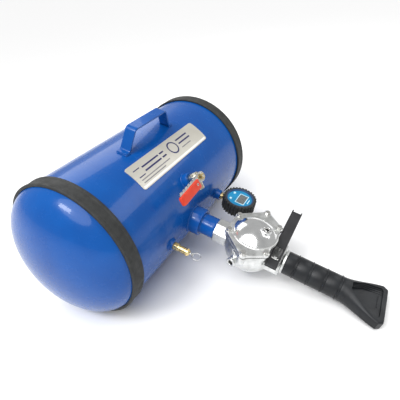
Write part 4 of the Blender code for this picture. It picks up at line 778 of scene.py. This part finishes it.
def makeTrigger():
    top = triggerTop
    near, far = trigger["ends"]
    bottom = top - 10 * mm
    half = trigger["half"]
    step, tail = near + trigger["step"], bottom + trigger["stepDrop"]
    profile = [(near, bottom), (near + 34 * mm, bottom), (step, bottom), (step + 3 * mm, tail), (far - 2 * mm, tail),
               (far, tail + 1.5 * mm), (far, top), (near + 2.5 * mm, top), (near, top - 2.5 * mm)]
    lever = place("triggerLever", prism(profile, -half, half), "black_lacquer", triggerFrame @ turnX(90), None)
    inside = half - trigger["sheet"]
    first, last = trigger["window"]
    sheet, gap, through = trigger["sheet"], trigger["windowHalf"], (top - 5 * mm, top + 5 * mm)
    cuts = [block((near + sheet, far + 5 * mm), (-inside, inside), (bottom - 5 * mm, top - sheet)),
            block((first, last), (-gap, gap), through),
            block((far - 5 * mm, far + 5 * mm), (-inside + 1 * mm, inside - 1 * mm), through)]
    combine(lever, "DIFFERENCE", [scratch(cut, triggerFrame) for cut in cuts]
            + [scratch(rod(2.06 * mm, -20 * mm, 20 * mm, 40), triggerFrame @ turnX(90))])
    softenEdges(lever, 0.45 * mm, harden=True)
    shadeSmooth(lever, 32)
    claim(lever, "trigger", "trigger_lever")
    # a raised lip round the window
    across = half - trigger["lipInset"]
    outer = rectangle((first - trigger["lipReach"], last + trigger["lipReach"]), (-across, across))
    inner = rectangle((first, last), (-gap, gap))
    shape = bezel(outer, inner, (top - 0.3 * mm, top + 0.5 * mm, top + 0.5 * mm, top - 1.6 * mm))
    place("triggerLip", shape, "black_lacquer", triggerFrame, "trigger", bevel=0.3 * mm)
    place("pivotPin", rod(2 * mm, -12.3 * mm, 12.3 * mm, 40, 0.4 * mm), "zinc_steel", pivotFrame @ turnX(90), "tank",
          ["pivot_pin"])
    print("trigger made")


def makeSpring(name, node, radius, wire, low, high, turns, where):
    # a coil of wire wound from low to high, given a mesh of its own
    path = []
    steps = int(turns * 28)
    for i in range(steps + 1):
        share = i / steps
        angle = 2 * pi * turns * share
        path.append((radius * cos(angle), radius * sin(angle), low + wire + (high - low - 2 * wire) * share))
    coil = place(name, tube(path, wire, 10), "spring_steel", where, "tank", [node])
    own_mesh(coil)


# Barrel with grip rings, and the fan nozzle with its ribbed pocket

barrel = {"start": 381.7 * mm, "radius": 25.5 * mm, "wall": 3.5 * mm, "length": 124.0 * mm, "ringStart": 23.0 * mm,
          "ringPitch": 31.2 * mm, "rings": 4, "ringHeight": 1.25 * mm, "nozzle": 85.0 * mm, "halfWidth": 52.0 * mm,
          "halfHeight": 11.5 * mm, "corner": 9.0 * mm, "pocketFloor": (9.5 * mm, 8.3 * mm), "sides": 128}


def barrelSection(z, halfX, halfY, square, sides, roof=None):
    points = []
    power = 1 - 0.8 * square
    for i in range(sides):
        a = 2 * pi * i / sides
        c, s = cos(a), sin(a)
        x = halfX * abs(c) ** power * (1 if c >= 0 else -1)
        y = halfY * abs(s) ** power * (1 if s >= 0 else -1)
        points.append((x, min(y, roof) if roof is not None else y, z))
    return points


def nozzleSize(share):
    blend = share * share * (3 - 2 * share)
    width = barrel["radius"] + (barrel["halfWidth"] - barrel["radius"]) * (0.35 * blend + 0.65 * share)
    height = barrel["radius"] + (barrel["halfHeight"] - barrel["radius"]) * blend
    return width, height, blend


def makeBarrel():
    start, radius, sides = barrel["start"], barrel["radius"], barrel["sides"]
    outer = [barrelSection(start, radius - 0.8 * mm, radius - 0.8 * mm, 0, sides),
             barrelSection(start + 0.8 * mm, radius, radius, 0, sides)]
    for number in range(barrel["rings"]):
        middle = start + barrel["ringStart"] + number * barrel["ringPitch"]
        for offset, rise in ((-2.9, 0), (-2.2, -0.4), (-1.5, -0.3), (-1.2, 0.55), (-0.7, 1), (0.7, 1), (1.2, 0.55),
                             (1.5, -0.3), (2.2, -0.4), (2.9, 0)):
            size = radius + rise * barrel["ringHeight"]
            outer.append(barrelSection(middle + offset * mm, size, size, 0, sides))
    flare = start + barrel["length"]
    inner = []
    floorFirst, floorLast = barrel["pocketFloor"]
    steps = 26
    for i in range(steps + 1):
        share = i / steps
        width, height, blend = nozzleSize(share)
        z = flare + share * (barrel["nozzle"] - barrel["corner"])
        outer.append(barrelSection(z, width, height, blend, sides))
        wall = barrel["wall"] + 1.5 * mm * share
        roof = None
        if share > 0.02:
            low = floorFirst + (floorLast - floorFirst) * share - 1.6 * mm
            easing = min(1.0, share / 0.18)
            roof = (height - wall) * (1 - easing) + min(low, height - wall) * easing
        inner.append(barrelSection(z, width - wall, height - wall, blend, sides, roof))
    mouth = flare + barrel["nozzle"]
    mouthHalf = barrel["halfWidth"] - barrel["corner"] * 0.7
    outer.append(barrelSection(mouth - 0.7 * mm, mouthHalf + 0.5 * mm, barrel["halfHeight"], 1, sides))
    outer.append(barrelSection(mouth, mouthHalf - 0.3 * mm, barrel["halfHeight"] - 0.6 * mm, 1, sides))
    inner.append(barrelSection(mouth, mouthHalf - 5 * mm, 6.5 * mm, 1, sides))
    inner.insert(0, barrelSection(start, radius - barrel["wall"], radius - barrel["wall"], 0, sides))
    casing = place("blastBarrel", loft(outer + inner[::-1], closed=True), "black_plastic", outletFrame, None)

    # the pocket narrows towards the tube, and its floor is nearly flat
    nearEnd, farEnd = flare + 13 * mm, mouth - 9 * mm
    edgeNear, edgeFar = [], []
    for i in range(17):
        share = i / 16
        z = nearEnd + (farEnd - nearEnd) * share
        width = mouthHalf
        if z < mouth - barrel["corner"]:
            width = nozzleSize((z - flare) / (barrel["nozzle"] - barrel["corner"]))[0]
        wide = max(7 * mm, width - 9.0 * mm) * min(1.0, 0.52 + 1.3 * share)
        edgeFar.append((wide, z))
        edgeNear.append((-wide, z))
    outline = roundCorners(edgeFar + edgeNear[::-1], 2.5 * mm, 3)
    pocket = bmesh.new()
    drop = floorLast - floorFirst
    floorRing = [pocket.verts.new((x * 0.96, floorFirst + drop * (z - flare) / barrel["nozzle"], z))
                 for x, z in outline]
    roofRing = [pocket.verts.new((x, 40 * mm, z)) for x, z in outline]
    pocket.faces.new(floorRing)
    pocket.faces.new(roofRing[::-1])
    for i in range(len(outline)):
        j = (i + 1) % len(outline)
        pocket.faces.new((floorRing[i], roofRing[i], roofRing[j], floorRing[j]))
    bmesh.ops.triangulate(pocket, faces=[face for face in pocket.faces if len(face.verts) > 4])
    combine(casing, "DIFFERENCE", [scratch(pocket, outletFrame)])
    softenEdges(casing, 0.6 * mm, limit=38)
    shadeSmooth(casing, 40)
    claim(casing, "tank", "blast_barrel")

    # ribs that follow the far edge, and a short ridge before the mouth
    for number, inset in enumerate((6.0, 12.5, 19.0), 1):
        sections = []
        for i in range(15):
            share = i / 14
            z = nearEnd + 2 * mm + (farEnd - nearEnd - 3 * mm) * share
            width, height, blend = nozzleSize((z - flare) / (barrel["nozzle"] - barrel["corner"]))
            x = (max(7 * mm, width - 9 * mm) * min(1.0, 0.52 + 1.3 * (z - nearEnd) / (farEnd - nearEnd))
                 - inset * mm * (0.35 + 0.65 * share))
            low = 8.0 * mm
            high = max(low + 1.2 * mm, (height - 1.0 * mm) - number * 0.9 * mm - 5.0 * mm * (1 - share) ** 2)
            high = min(high, height - 0.8 * mm)
            sections.append([(x - 0.9 * mm, low, z), (x + 0.9 * mm, low, z), (x + 0.6 * mm, high, z),
                             (x - 0.6 * mm, high, z)])
        place(f"nozzleRib{number}", loft(sections), "black_plastic", outletFrame, "tank", bevel=0.25 * mm)
    ridge = block((-15 * mm, 17 * mm), (8 * mm, 9.9 * mm), (mouth - 17.6 * mm, mouth - 16.4 * mm))
    place("nozzleRidge", ridge, "black_plastic", outletFrame, "tank", bevel=0.3 * mm)

    collarLow = 376.7 * mm
    spigot = radius - barrel["wall"] - 0.3 * mm
    lip, collarHigh = collarLow + 4.7 * mm, collarLow + 19.7 * mm
    collar = [(18 * mm, collarLow), (28 * mm, collarLow), (28 * mm, lip), (spigot, lip), (spigot, collarHigh),
              (18 * mm, collarHigh)]
    place("barrelCollar", revolve(collar, 120, 0.8 * mm), "cast_aluminium", outletFrame, "tank", ["barrel_collar"])
    print("barrel made")


makeValveBody()
makeValveCover()
makeBolts()
makeTrigger()
makeBarrel()


# Springs and the plunger behind the window

def makeSprings():
    plungerFrame = valveFrame @ shift(17 * mm, -59.5 * mm)
    tilt, reach = radians(10), 37 * mm      # reach: from the pivot to the plunger
    under = 15 * mm + reach * sin(tilt) / cos(tilt) + (triggerTop - 2 * mm) / cos(tilt) - 0.6 * mm
    foot = -2.5 * mm + reach * radians(8) + 1 * mm
    stem = [(0, foot), (2.4 * mm, foot), (2.4 * mm, under - 2.4 * mm)]
    stem += arcPoints(2.4 * mm, 0, 88, 8, (0, under - 2.4 * mm)) + [(0, under)]
    place("pilotPlunger", revolve(stem, 40), "zinc_steel", plungerFrame, "plunger", ["pilot_plunger"])
    makeSpring("triggerSpring", "trigger_spring", 4.0 * mm, 0.7 * mm, 8.8 * mm, under - 1.5 * mm, 5, plungerFrame)
    makeSpring("pistonSpring", "piston_spring", 14 * mm, 1 * mm, 31.4 * mm, 54.5 * mm, 4.5, valveFrame)
    makeSpring("reliefSpring", "safety_spring", 3.7 * mm, 0.6 * mm, 166.1 * mm, 189 * mm, 6, reliefFrame)
    print("springs made")


# Inlet ball valve with its lever

inlet = {"foot": 167.0 * mm, "height": 23.5 * mm, "radius": 12.5 * mm, "middle": 179.5 * mm, "portReach": 27.0 * mm,
         "portRadius": 10.0 * mm, "lever": 92.0 * mm, "leverWidth": 15.0 * mm, "sheet": 2.2 * mm, "edge": 10.5 * mm,
         "teeth": 7, "tooth": 2.8 * mm, "gripWidth": 21.0 * mm, "gripThick": 8.0 * mm, "gripShift": 6.0 * mm,
         "room": 9.3 * mm}


def makeInletValve():
    foot, roof = inlet["foot"], inlet["foot"] + inlet["height"]
    radius = inlet["radius"]
    outline = [(0, ports["low"]), (6.5 * mm, ports["low"]), (6.5 * mm, foot), (radius - 1.5 * mm, foot),
               (radius - 1.5 * mm, foot + 3 * mm), (radius, foot + 4 * mm), (radius, roof - 4 * mm),
               (radius - 3 * mm, roof - 1.5 * mm), (radius - 3.5 * mm, roof), (0, roof)]
    body = place("inletValveBody", revolve(outline, 96, 0.8 * mm), "nickel_plate", inletFrame, None)
    portFrame = inletFrame @ shift(0, 0, inlet["middle"]) @ turnX(90)
    port = nutShape(inlet["portRadius"], 30, 0.8 * mm, 8 * mm, inlet["portReach"])
    combine(body, "UNION", [scratch(port, portFrame)])
    thread = [(0, 5 * mm), (4 * mm, 5 * mm), (4 * mm, 16 * mm)]
    for i in range(9):
        z = 16.4 * mm + i * 1.15 * mm
        thread += [(6.2 * mm, z), (6.6 * mm, z + 0.55 * mm)]
    thread += [(6.6 * mm, 26.6 * mm), (7.4 * mm, 27.4 * mm), (7.4 * mm, 30 * mm), (0, 30 * mm)]
    room = [(0, -inlet["room"])] + arcPoints(inlet["room"], -80, 80, 20) + [(0, inlet["room"])]
    combine(body, "DIFFERENCE", [scratch(revolve(room, 48), inletFrame @ shift(0, 0, inlet["middle"])),
                                 scratch(revolve(thread, 48), portFrame),
                                 scratch(rod(3.05 * mm, inlet["middle"], roof + 5 * mm, 32), inletFrame)])
    softenEdges(body, 0.4 * mm, harden=True)
    shadeSmooth(body, 32)
    claim(body, "tank", "inlet_valve_body")

    nutLow = roof + 0.3 * mm
    place("packingNut", nutShape(8.5 * mm, 12, 0.6 * mm, nutLow, nutLow + 4 * mm), "brass", inletFrame, "tank",
          ["packing_nut"], bevel=0.4 * mm)
    strapLow = nutLow + 4.3 * mm
    strapHigh = strapLow + inlet["sheet"]
    half = inlet["leverWidth"] / 2
    tip = inlet["lever"] - 4 * mm
    hub = arcPoints(11 * mm, -118, 118, 28)
    pitch = (tip - 14 * mm) / inlet["teeth"]
    teeth = []
    for tooth in range(inlet["teeth"]):
        x = -14 * mm - tooth * pitch
        notch = inlet["edge"] - inlet["tooth"]
        teeth += [(x, inlet["edge"]), (x - pitch * 0.58, inlet["edge"]), (x - pitch * 0.66, inlet["edge"] - 0.6 * mm),
                  (x - pitch * 0.68, notch), (x - pitch * 0.96, notch), (x - pitch * 0.98, inlet["edge"] - 0.6 * mm)]
    outline = [(-tip, -half + 2 * mm), (-tip + 2 * mm, -half), (-13 * mm, -half)] + hub + teeth
    lever = place("inletLever", prism(outline, strapLow, strapHigh), "zinc_steel", leverFrame, None)
    through = strapLow - 2 * mm, strapHigh + 2 * mm
    combine(lever, "DIFFERENCE", [scratch(rod(3.3 * mm, *through, 32), leverFrame),
                                  scratch(rod(2.2 * mm, *through, 24), leverFrame @ shift(6.5 * mm, 4.5 * mm))])
    softenEdges(lever, 0.35 * mm)
    claim(lever, "inlet_handle", "inlet_lever")
    place("leverNut", nutShape(6.6 * mm, 0, 0.5 * mm, strapHigh + 0.3 * mm, strapHigh + 4.8 * mm), "brass",
          leverFrame @ turnZ(17), "inlet_handle", ["lever_nut"], bevel=0.5 * mm)
    place("valveStem", rod(3 * mm, inlet["middle"] + inlet["room"], strapHigh + 5.5 * mm, 40, 0.4 * mm), "zinc_steel",
          leverFrame, "inlet_handle", ["valve_stem"])

    # vinyl sleeve beside the strap's toothed edge
    middle = (strapLow + strapHigh) / 2
    wide, thick = inlet["gripWidth"] / 2, inlet["gripThick"] / 2
    section = roundCorners([(-wide, -thick), (wide, -thick), (wide, thick), (-wide, thick)], 2.6 * mm, 5)
    rings = []
    for distance, share in ((18, 0.90), (18.6, 0.97), (20, 1.0), (30, 1.0), (45, 0.98), (60, 0.98), (76, 1.0),
                            (84, 1.0), (87.5, 0.96), (90, 0.88), (91.4, 0.76), (92, 0.60)):
        rings.append([(-distance * mm, y * share - inlet["gripShift"], middle + z * share) for y, z in section])
    place("leverGrip", loft(rings), "red_vinyl", leverFrame, "inlet_handle", ["lever_grip"], angle=60)
    eyelet = leverFrame @ shift(-27 * mm, 1 * mm - inlet["gripShift"])
    top = middle + thick
    place("gripEyelet", sleeve(1.5 * mm, 3.1 * mm, top - 0.5 * mm, top + 0.25 * mm, 40, 0.2 * mm), "zinc_steel",
          eyelet, "inlet_handle", slotName="red_vinyl")
    # a dark disc in the eyelet's hole: painted shade over the red vinyl
    place("gripEyeletPaintedShade", rod(1.7 * mm, top - 0.4 * mm, top + 0.06 * mm, 32),
          "dark_bore", eyelet, "inlet_handle", slotName="red_vinyl")
    print("inlet valve made")


# Relief valve with its pull ring

relief = {"foot": 160.0 * mm, "top": 190.0 * mm, "body": 7.5 * mm, "hex": 9.5 * mm, "cap": 7.5 * mm,
          "eye": 204.0 * mm, "ring": 9.5 * mm, "wire": 0.9 * mm}


def makeReliefValve():
    low, top = relief["foot"], relief["top"]
    radius = relief["body"]
    body = [(3 * mm, ports["low"]), (6.5 * mm, ports["low"]), (6.5 * mm, low + 1 * mm), (radius, low + 1 * mm),
            (radius, low + 12 * mm), (6.4 * mm, low + 13.2 * mm), (6.4 * mm, low + 15 * mm),
            (radius, low + 16.2 * mm), (radius, top - 8 * mm), (6.9 * mm, top - 7.4 * mm),
            (6.9 * mm, top - 6.6 * mm), (radius, top - 6 * mm), (radius, top), (5.6 * mm, top), (5.6 * mm, low + 3 * mm), (3 * mm, low + 3 * mm)]
    place("reliefBody", revolve(body, 72), "brass", reliefFrame, "tank", ["safety_body"], angle=40)
    place("reliefHex", nutShape(relief["hex"], 10, 0.6 * mm, low, low + 9.5 * mm), "brass", reliefFrame, "tank",
          bevel=0.5 * mm)
    capLow = top + 0.3 * mm
    capHigh = capLow + relief["cap"]
    cap = [(1.65 * mm, capLow), (radius, capLow), (radius, capHigh - 3.4 * mm), (5.4 * mm, capHigh - 1 * mm),
           (3.4 * mm, capHigh), (1.65 * mm, capHigh)]
    place("reliefCap", revolve(cap, 72, 0.5 * mm), "brass", reliefFrame, "tank", ["safety_cap"])
    for number in range(20):
        rib = block((radius - 0.6 * mm, radius + 0.25 * mm), (-0.45 * mm, 0.45 * mm),
                    (capLow + 0.6 * mm, capHigh - 4.0 * mm))
        place(f"reliefCapRib{number + 1}", rib, "brass", reliefFrame @ turnZ(18 * number), "tank", bevel=0.12 * mm)
    disc = low + 5.8 * mm
    neck = relief["eye"] - 2.4 * mm
    stem = [(0, low + 3.3 * mm), (5.0 * mm, low + 3.3 * mm), (5.0 * mm, disc), (1.6 * mm, disc), (1.6 * mm, neck),
            (0, neck)]
    place("reliefStem", revolve(stem, 40, 0.3 * mm), "zinc_steel", reliefFrame, "relief_stem", ["safety_stem"])
    eyeFrame = reliefFrame @ shift(0, 0, relief["eye"])
    eye = sleeve(1.7 * mm, 3.4 * mm, -1.4 * mm, 1.4 * mm, 40, 0.4 * mm)
    place("reliefEye", eye, "zinc_steel", eyeFrame @ turnY(90), "relief_stem")
    path = [(x, y, 0) for x, y in polygonPoints(relief["ring"], 80)]
    place("pullRing", tube(path, relief["wire"], 12, closed=True), "zinc_steel",
          eyeFrame @ shift(0, 0, relief["ring"]) @ turnX(90), "relief_ring", ["pull_ring"])
    print("relief valve made")


# Digital gauge in a toothed boot

gauge = {"case": 35.0 * mm, "low": -15.5 * mm, "high": 12.0 * mm, "rim": 3.0 * mm, "recess": 5.0 * mm,
         "boot": 39.0 * mm, "tooth": 3.0 * mm, "teeth": 30, "display": (35.0 * mm, 20.5 * mm),
         "displayOffset": 6.0 * mm,
         "buttonX": 12.8 * mm, "buttonY": 19.5 * mm, "button": 3.4 * mm}


def makeGauge():
    low, high = gauge["low"], gauge["high"]
    floor = high - gauge["recess"]
    stem = [(2 * mm, ports["low"]), (6.5 * mm, ports["low"]), (6.5 * mm, 172.4 * mm), (5.5 * mm, 173.4 * mm),
            (5.5 * mm, 180.2 * mm), (2 * mm, 180.2 * mm)]
    place("gaugeStem", revolve(stem, 64), "brass", gaugeLine, "tank", ["gauge_stem"], angle=40)
    place("gaugeHex", nutShape(9.8 * mm, 20, 0.6 * mm, 167.4 * mm, 171.9 * mm), "brass", gaugeLine, "tank",
          bevel=0.5 * mm)
    case = [(0, low), (gauge["case"], low), (gauge["case"], high), (gauge["case"] - gauge["rim"], high),
            (gauge["case"] - gauge["rim"], floor), (0, floor)]
    place("gaugeCase", revolve(case, 120, 1.1 * mm), "gauge_case_blue", gaugeFrame, "tank", ["gauge_case"])

    outline = []
    root = gauge["boot"]
    for tooth in range(gauge["teeth"]):
        middle = 2 * pi * tooth / gauge["teeth"]
        for part, rise in ((-0.50, 0), (-0.32, 0), (-0.22, 0.8), (-0.12, 1), (0.12, 1), (0.22, 0.8), (0.32, 0)):
            angle = middle + part * 2 * pi / gauge["teeth"]
            radius = root + gauge["tooth"] * rise
            outline.append((radius * cos(angle), radius * sin(angle)))
    boot = place("gaugeBoot", prism(outline, low - 2.3 * mm, high), "black_rubber", gaugeFrame, None)
    hollow = [(0, low - 0.3 * mm), (35.3 * mm, low - 0.3 * mm), (35.3 * mm, high - 1.2 * mm),
              (34.2 * mm, high - 0.9 * mm), (34.2 * mm, high + 3 * mm), (0, high + 3 * mm)]
    entry = scratch(rod(6.1 * mm, 30 * mm, 48 * mm, 40), gaugeFrame @ shift(0, 0, -tank["gaugeRise"]) @ turnX(-90))
    grooves = [scratch(sleeve(root + 0.9 * mm, root + 6 * mm, z, z + 1.6 * mm, 90), gaugeFrame)
               for z in (-9 * mm, -1 * mm)]
    combine(boot, "DIFFERENCE", [scratch(revolve(hollow, 120), gaugeFrame), entry] + grooves)
    softenEdges(boot, 0.5 * mm)
    shadeSmooth(boot, 35)
    claim(boot, "tank", "gauge_boot")

    plateLow, plateHigh = floor + 0.3 * mm, floor + 1.8 * mm
    buttonFrames = [gaugeFrame @ shift(side * gauge["buttonX"], gauge["buttonY"]) for side in (-1, 1)]
    halfX, halfY = gauge["display"][0] / 2, gauge["display"][1] / 2
    middle = -gauge["displayOffset"]
    face = place("gaugeFace", rod(31.7 * mm, plateLow, plateHigh, 120, 0.3 * mm), "gauge_face_cyan", gaugeFrame, None)
    cuts = [scratch(block((-halfX, halfX), (middle - halfY, middle + halfY), (floor - 2 * mm, high)), gaugeFrame)]
    for where in buttonFrames:
        cuts.append(scratch(rod(3.7 * mm, floor - 2 * mm, high, 40), where))
    combine(face, "DIFFERENCE", cuts)
    shadeSmooth(face, 35)
    claim(face, "tank", "gauge_face")
    place("gaugeRim", revolve([(30.6 * mm, plateHigh - 0.4 * mm), (31.9 * mm, plateHigh - 0.4 * mm),
                               (31.9 * mm, plateHigh + 1.0 * mm), (30.9 * mm, plateHigh + 0.4 * mm)], 120, 0.2 * mm),
          "gauge_case_blue", gaugeFrame, "tank")
    # white frame round the display, and the panel under its window
    edges = (-halfX, halfX), (middle - halfY, middle + halfY)
    shape = bezel(rectangle(*edges, 1.8 * mm), rectangle(*edges),
                  (plateHigh - 0.3 * mm, plateHigh + 0.35 * mm, plateHigh + 0.35 * mm, plateHigh - 0.6 * mm))
    place("displayFrame", shape, "button_white", gaugeFrame, "tank", bevel=0.2 * mm)
    fit = 0.3 * mm
    inset = (-halfX + fit, halfX - fit), (middle - halfY + fit, middle + halfY - fit)
    place("displayPanel", block(*inset, (plateLow, plateLow + 0.7 * mm)), "display_grey", gaugeFrame, "tank",
          ["gauge_display"], bevel=0.1 * mm)
    place("displayWindow", block(*inset, (plateLow + 1 * mm, plateHigh + 0.4 * mm)), "clear_plastic", gaugeFrame,
          "tank", ["display_window"], bevel=0.25 * mm)
    bar = block((-9 * mm, 9 * mm), (-24.6 * mm, -22.6 * mm), (plateHigh, plateHigh + 0.2 * mm))
    place("faceBar", bar, "button_white", gaugeFrame, "tank", bevel=0.1 * mm)
    cap = [(0, plateLow + 0.9 * mm), (gauge["button"], plateLow + 0.9 * mm), (gauge["button"], plateHigh + 1.2 * mm),
           (2.6 * mm, plateHigh + 2.0 * mm), (0, plateHigh + 1.75 * mm)]
    for name, node, body, where in (("buttonLeft", "gauge_button_left", "button_left", buttonFrames[0]),
                                    ("buttonRight", "gauge_button_right", "button_right", buttonFrames[1])):
        place(name, revolve(cap, 64, 0.4 * mm), "button_white", where, body, [node])
    print("gauge made")


makeSprings()
makeInletValve()
makeReliefValve()
makeGauge()


# Parts that keep their solids get their finishes

kept = {"valve_ball": "polished_aluminium", "dump_piston": "cast_aluminium", "piston_seal": "black_rubber"}
for name, kind in kept.items():
    nodes[name].data.materials.clear()
    nodes[name].data.materials.append(finishes[kind])


# Floor, light and camera

studio = {"floor": (0.90, 0.90, 0.90), "reach": 60, "world": 0.44, "sun": 2.3, "key": 24.0, "side": 8.0, "back": 14.0,
          "sunAngle": 55, "sunTurn": (4, -27, 0), "lens": 32.06,
          "cameraAt": (-0.5897, -0.3101, 0.61325), "cameraTurn": (56.7683, 4.8622, -61.6481)}


def addPanel(name, at, towards, size, power):
    lamp = bpy.data.lights.new(name, "AREA")
    lamp.shape = "RECTANGLE"
    lamp.size, lamp.size_y = size
    lamp.energy = power
    panel = addObject(name, lamp)
    panel.location = at
    panel.rotation_euler = (Vector(towards) - Vector(at)).to_track_quat("-Z", "Y").to_euler()


def makeStudio():
    finish = bpy.data.materials.new("studio_floor")
    finish.use_nodes = True
    tree = finish.node_tree
    shader = tree.nodes["Principled BSDF"]
    shader.inputs["Base Color"].default_value = (*studio["floor"], 1)
    shader.inputs["Roughness"].default_value = 0.85
    mesh = bpy.data.meshes.new("studioFloor")
    reach = studio["reach"]
    mesh.from_pydata([(x, y, 0) for x, y in rectangle((-reach, reach), (-reach, reach))], [], [(0, 1, 2, 3)])
    mesh.materials.append(finish)
    floor = addObject("studioFloor", mesh)
    floor.location.z = -0.5 * mm

    world = bpy.data.worlds.new("studio")
    bpy.context.scene.world = world
    world.use_nodes = True
    sky = world.node_tree.nodes["Background"]
    sky.inputs["Color"].default_value = (1, 1, 1, 1)
    sky.inputs["Strength"].default_value = studio["world"]
    addPanel("keyPanel", (-1.6, 0.6, 2.2), (0, 0.1, 0.15), (0.8, 0.5), studio["key"])
    addPanel("sidePanel", (1.4, -1.4, 1.6), (0, 0, 0.1), (1.0, 1.0), studio["side"])
    addPanel("backPanel", (0.9, 1.6, 1.5), (0, 0, 0.15), (1.8, 1.2), studio["back"])
    sun = bpy.data.lights.new("sun", "SUN")
    sun.energy = studio["sun"]
    sun.angle = radians(studio["sunAngle"])
    lamp = addObject("sun", sun)
    lamp.rotation_euler = [radians(angle) for angle in studio["sunTurn"]]

    data = bpy.data.cameras.new("camera")
    data.sensor_width = 36.0
    data.lens = studio["lens"]
    camera = addObject("camera", data)
    camera.location = studio["cameraAt"]
    camera.rotation_euler = [radians(angle) for angle in studio["cameraTurn"]]
    bpy.context.scene.camera = camera
    bpy.context.scene.view_settings.view_transform = "Standard"
    print("studio made")


makeStudio()
bpy.context.view_layer.update()
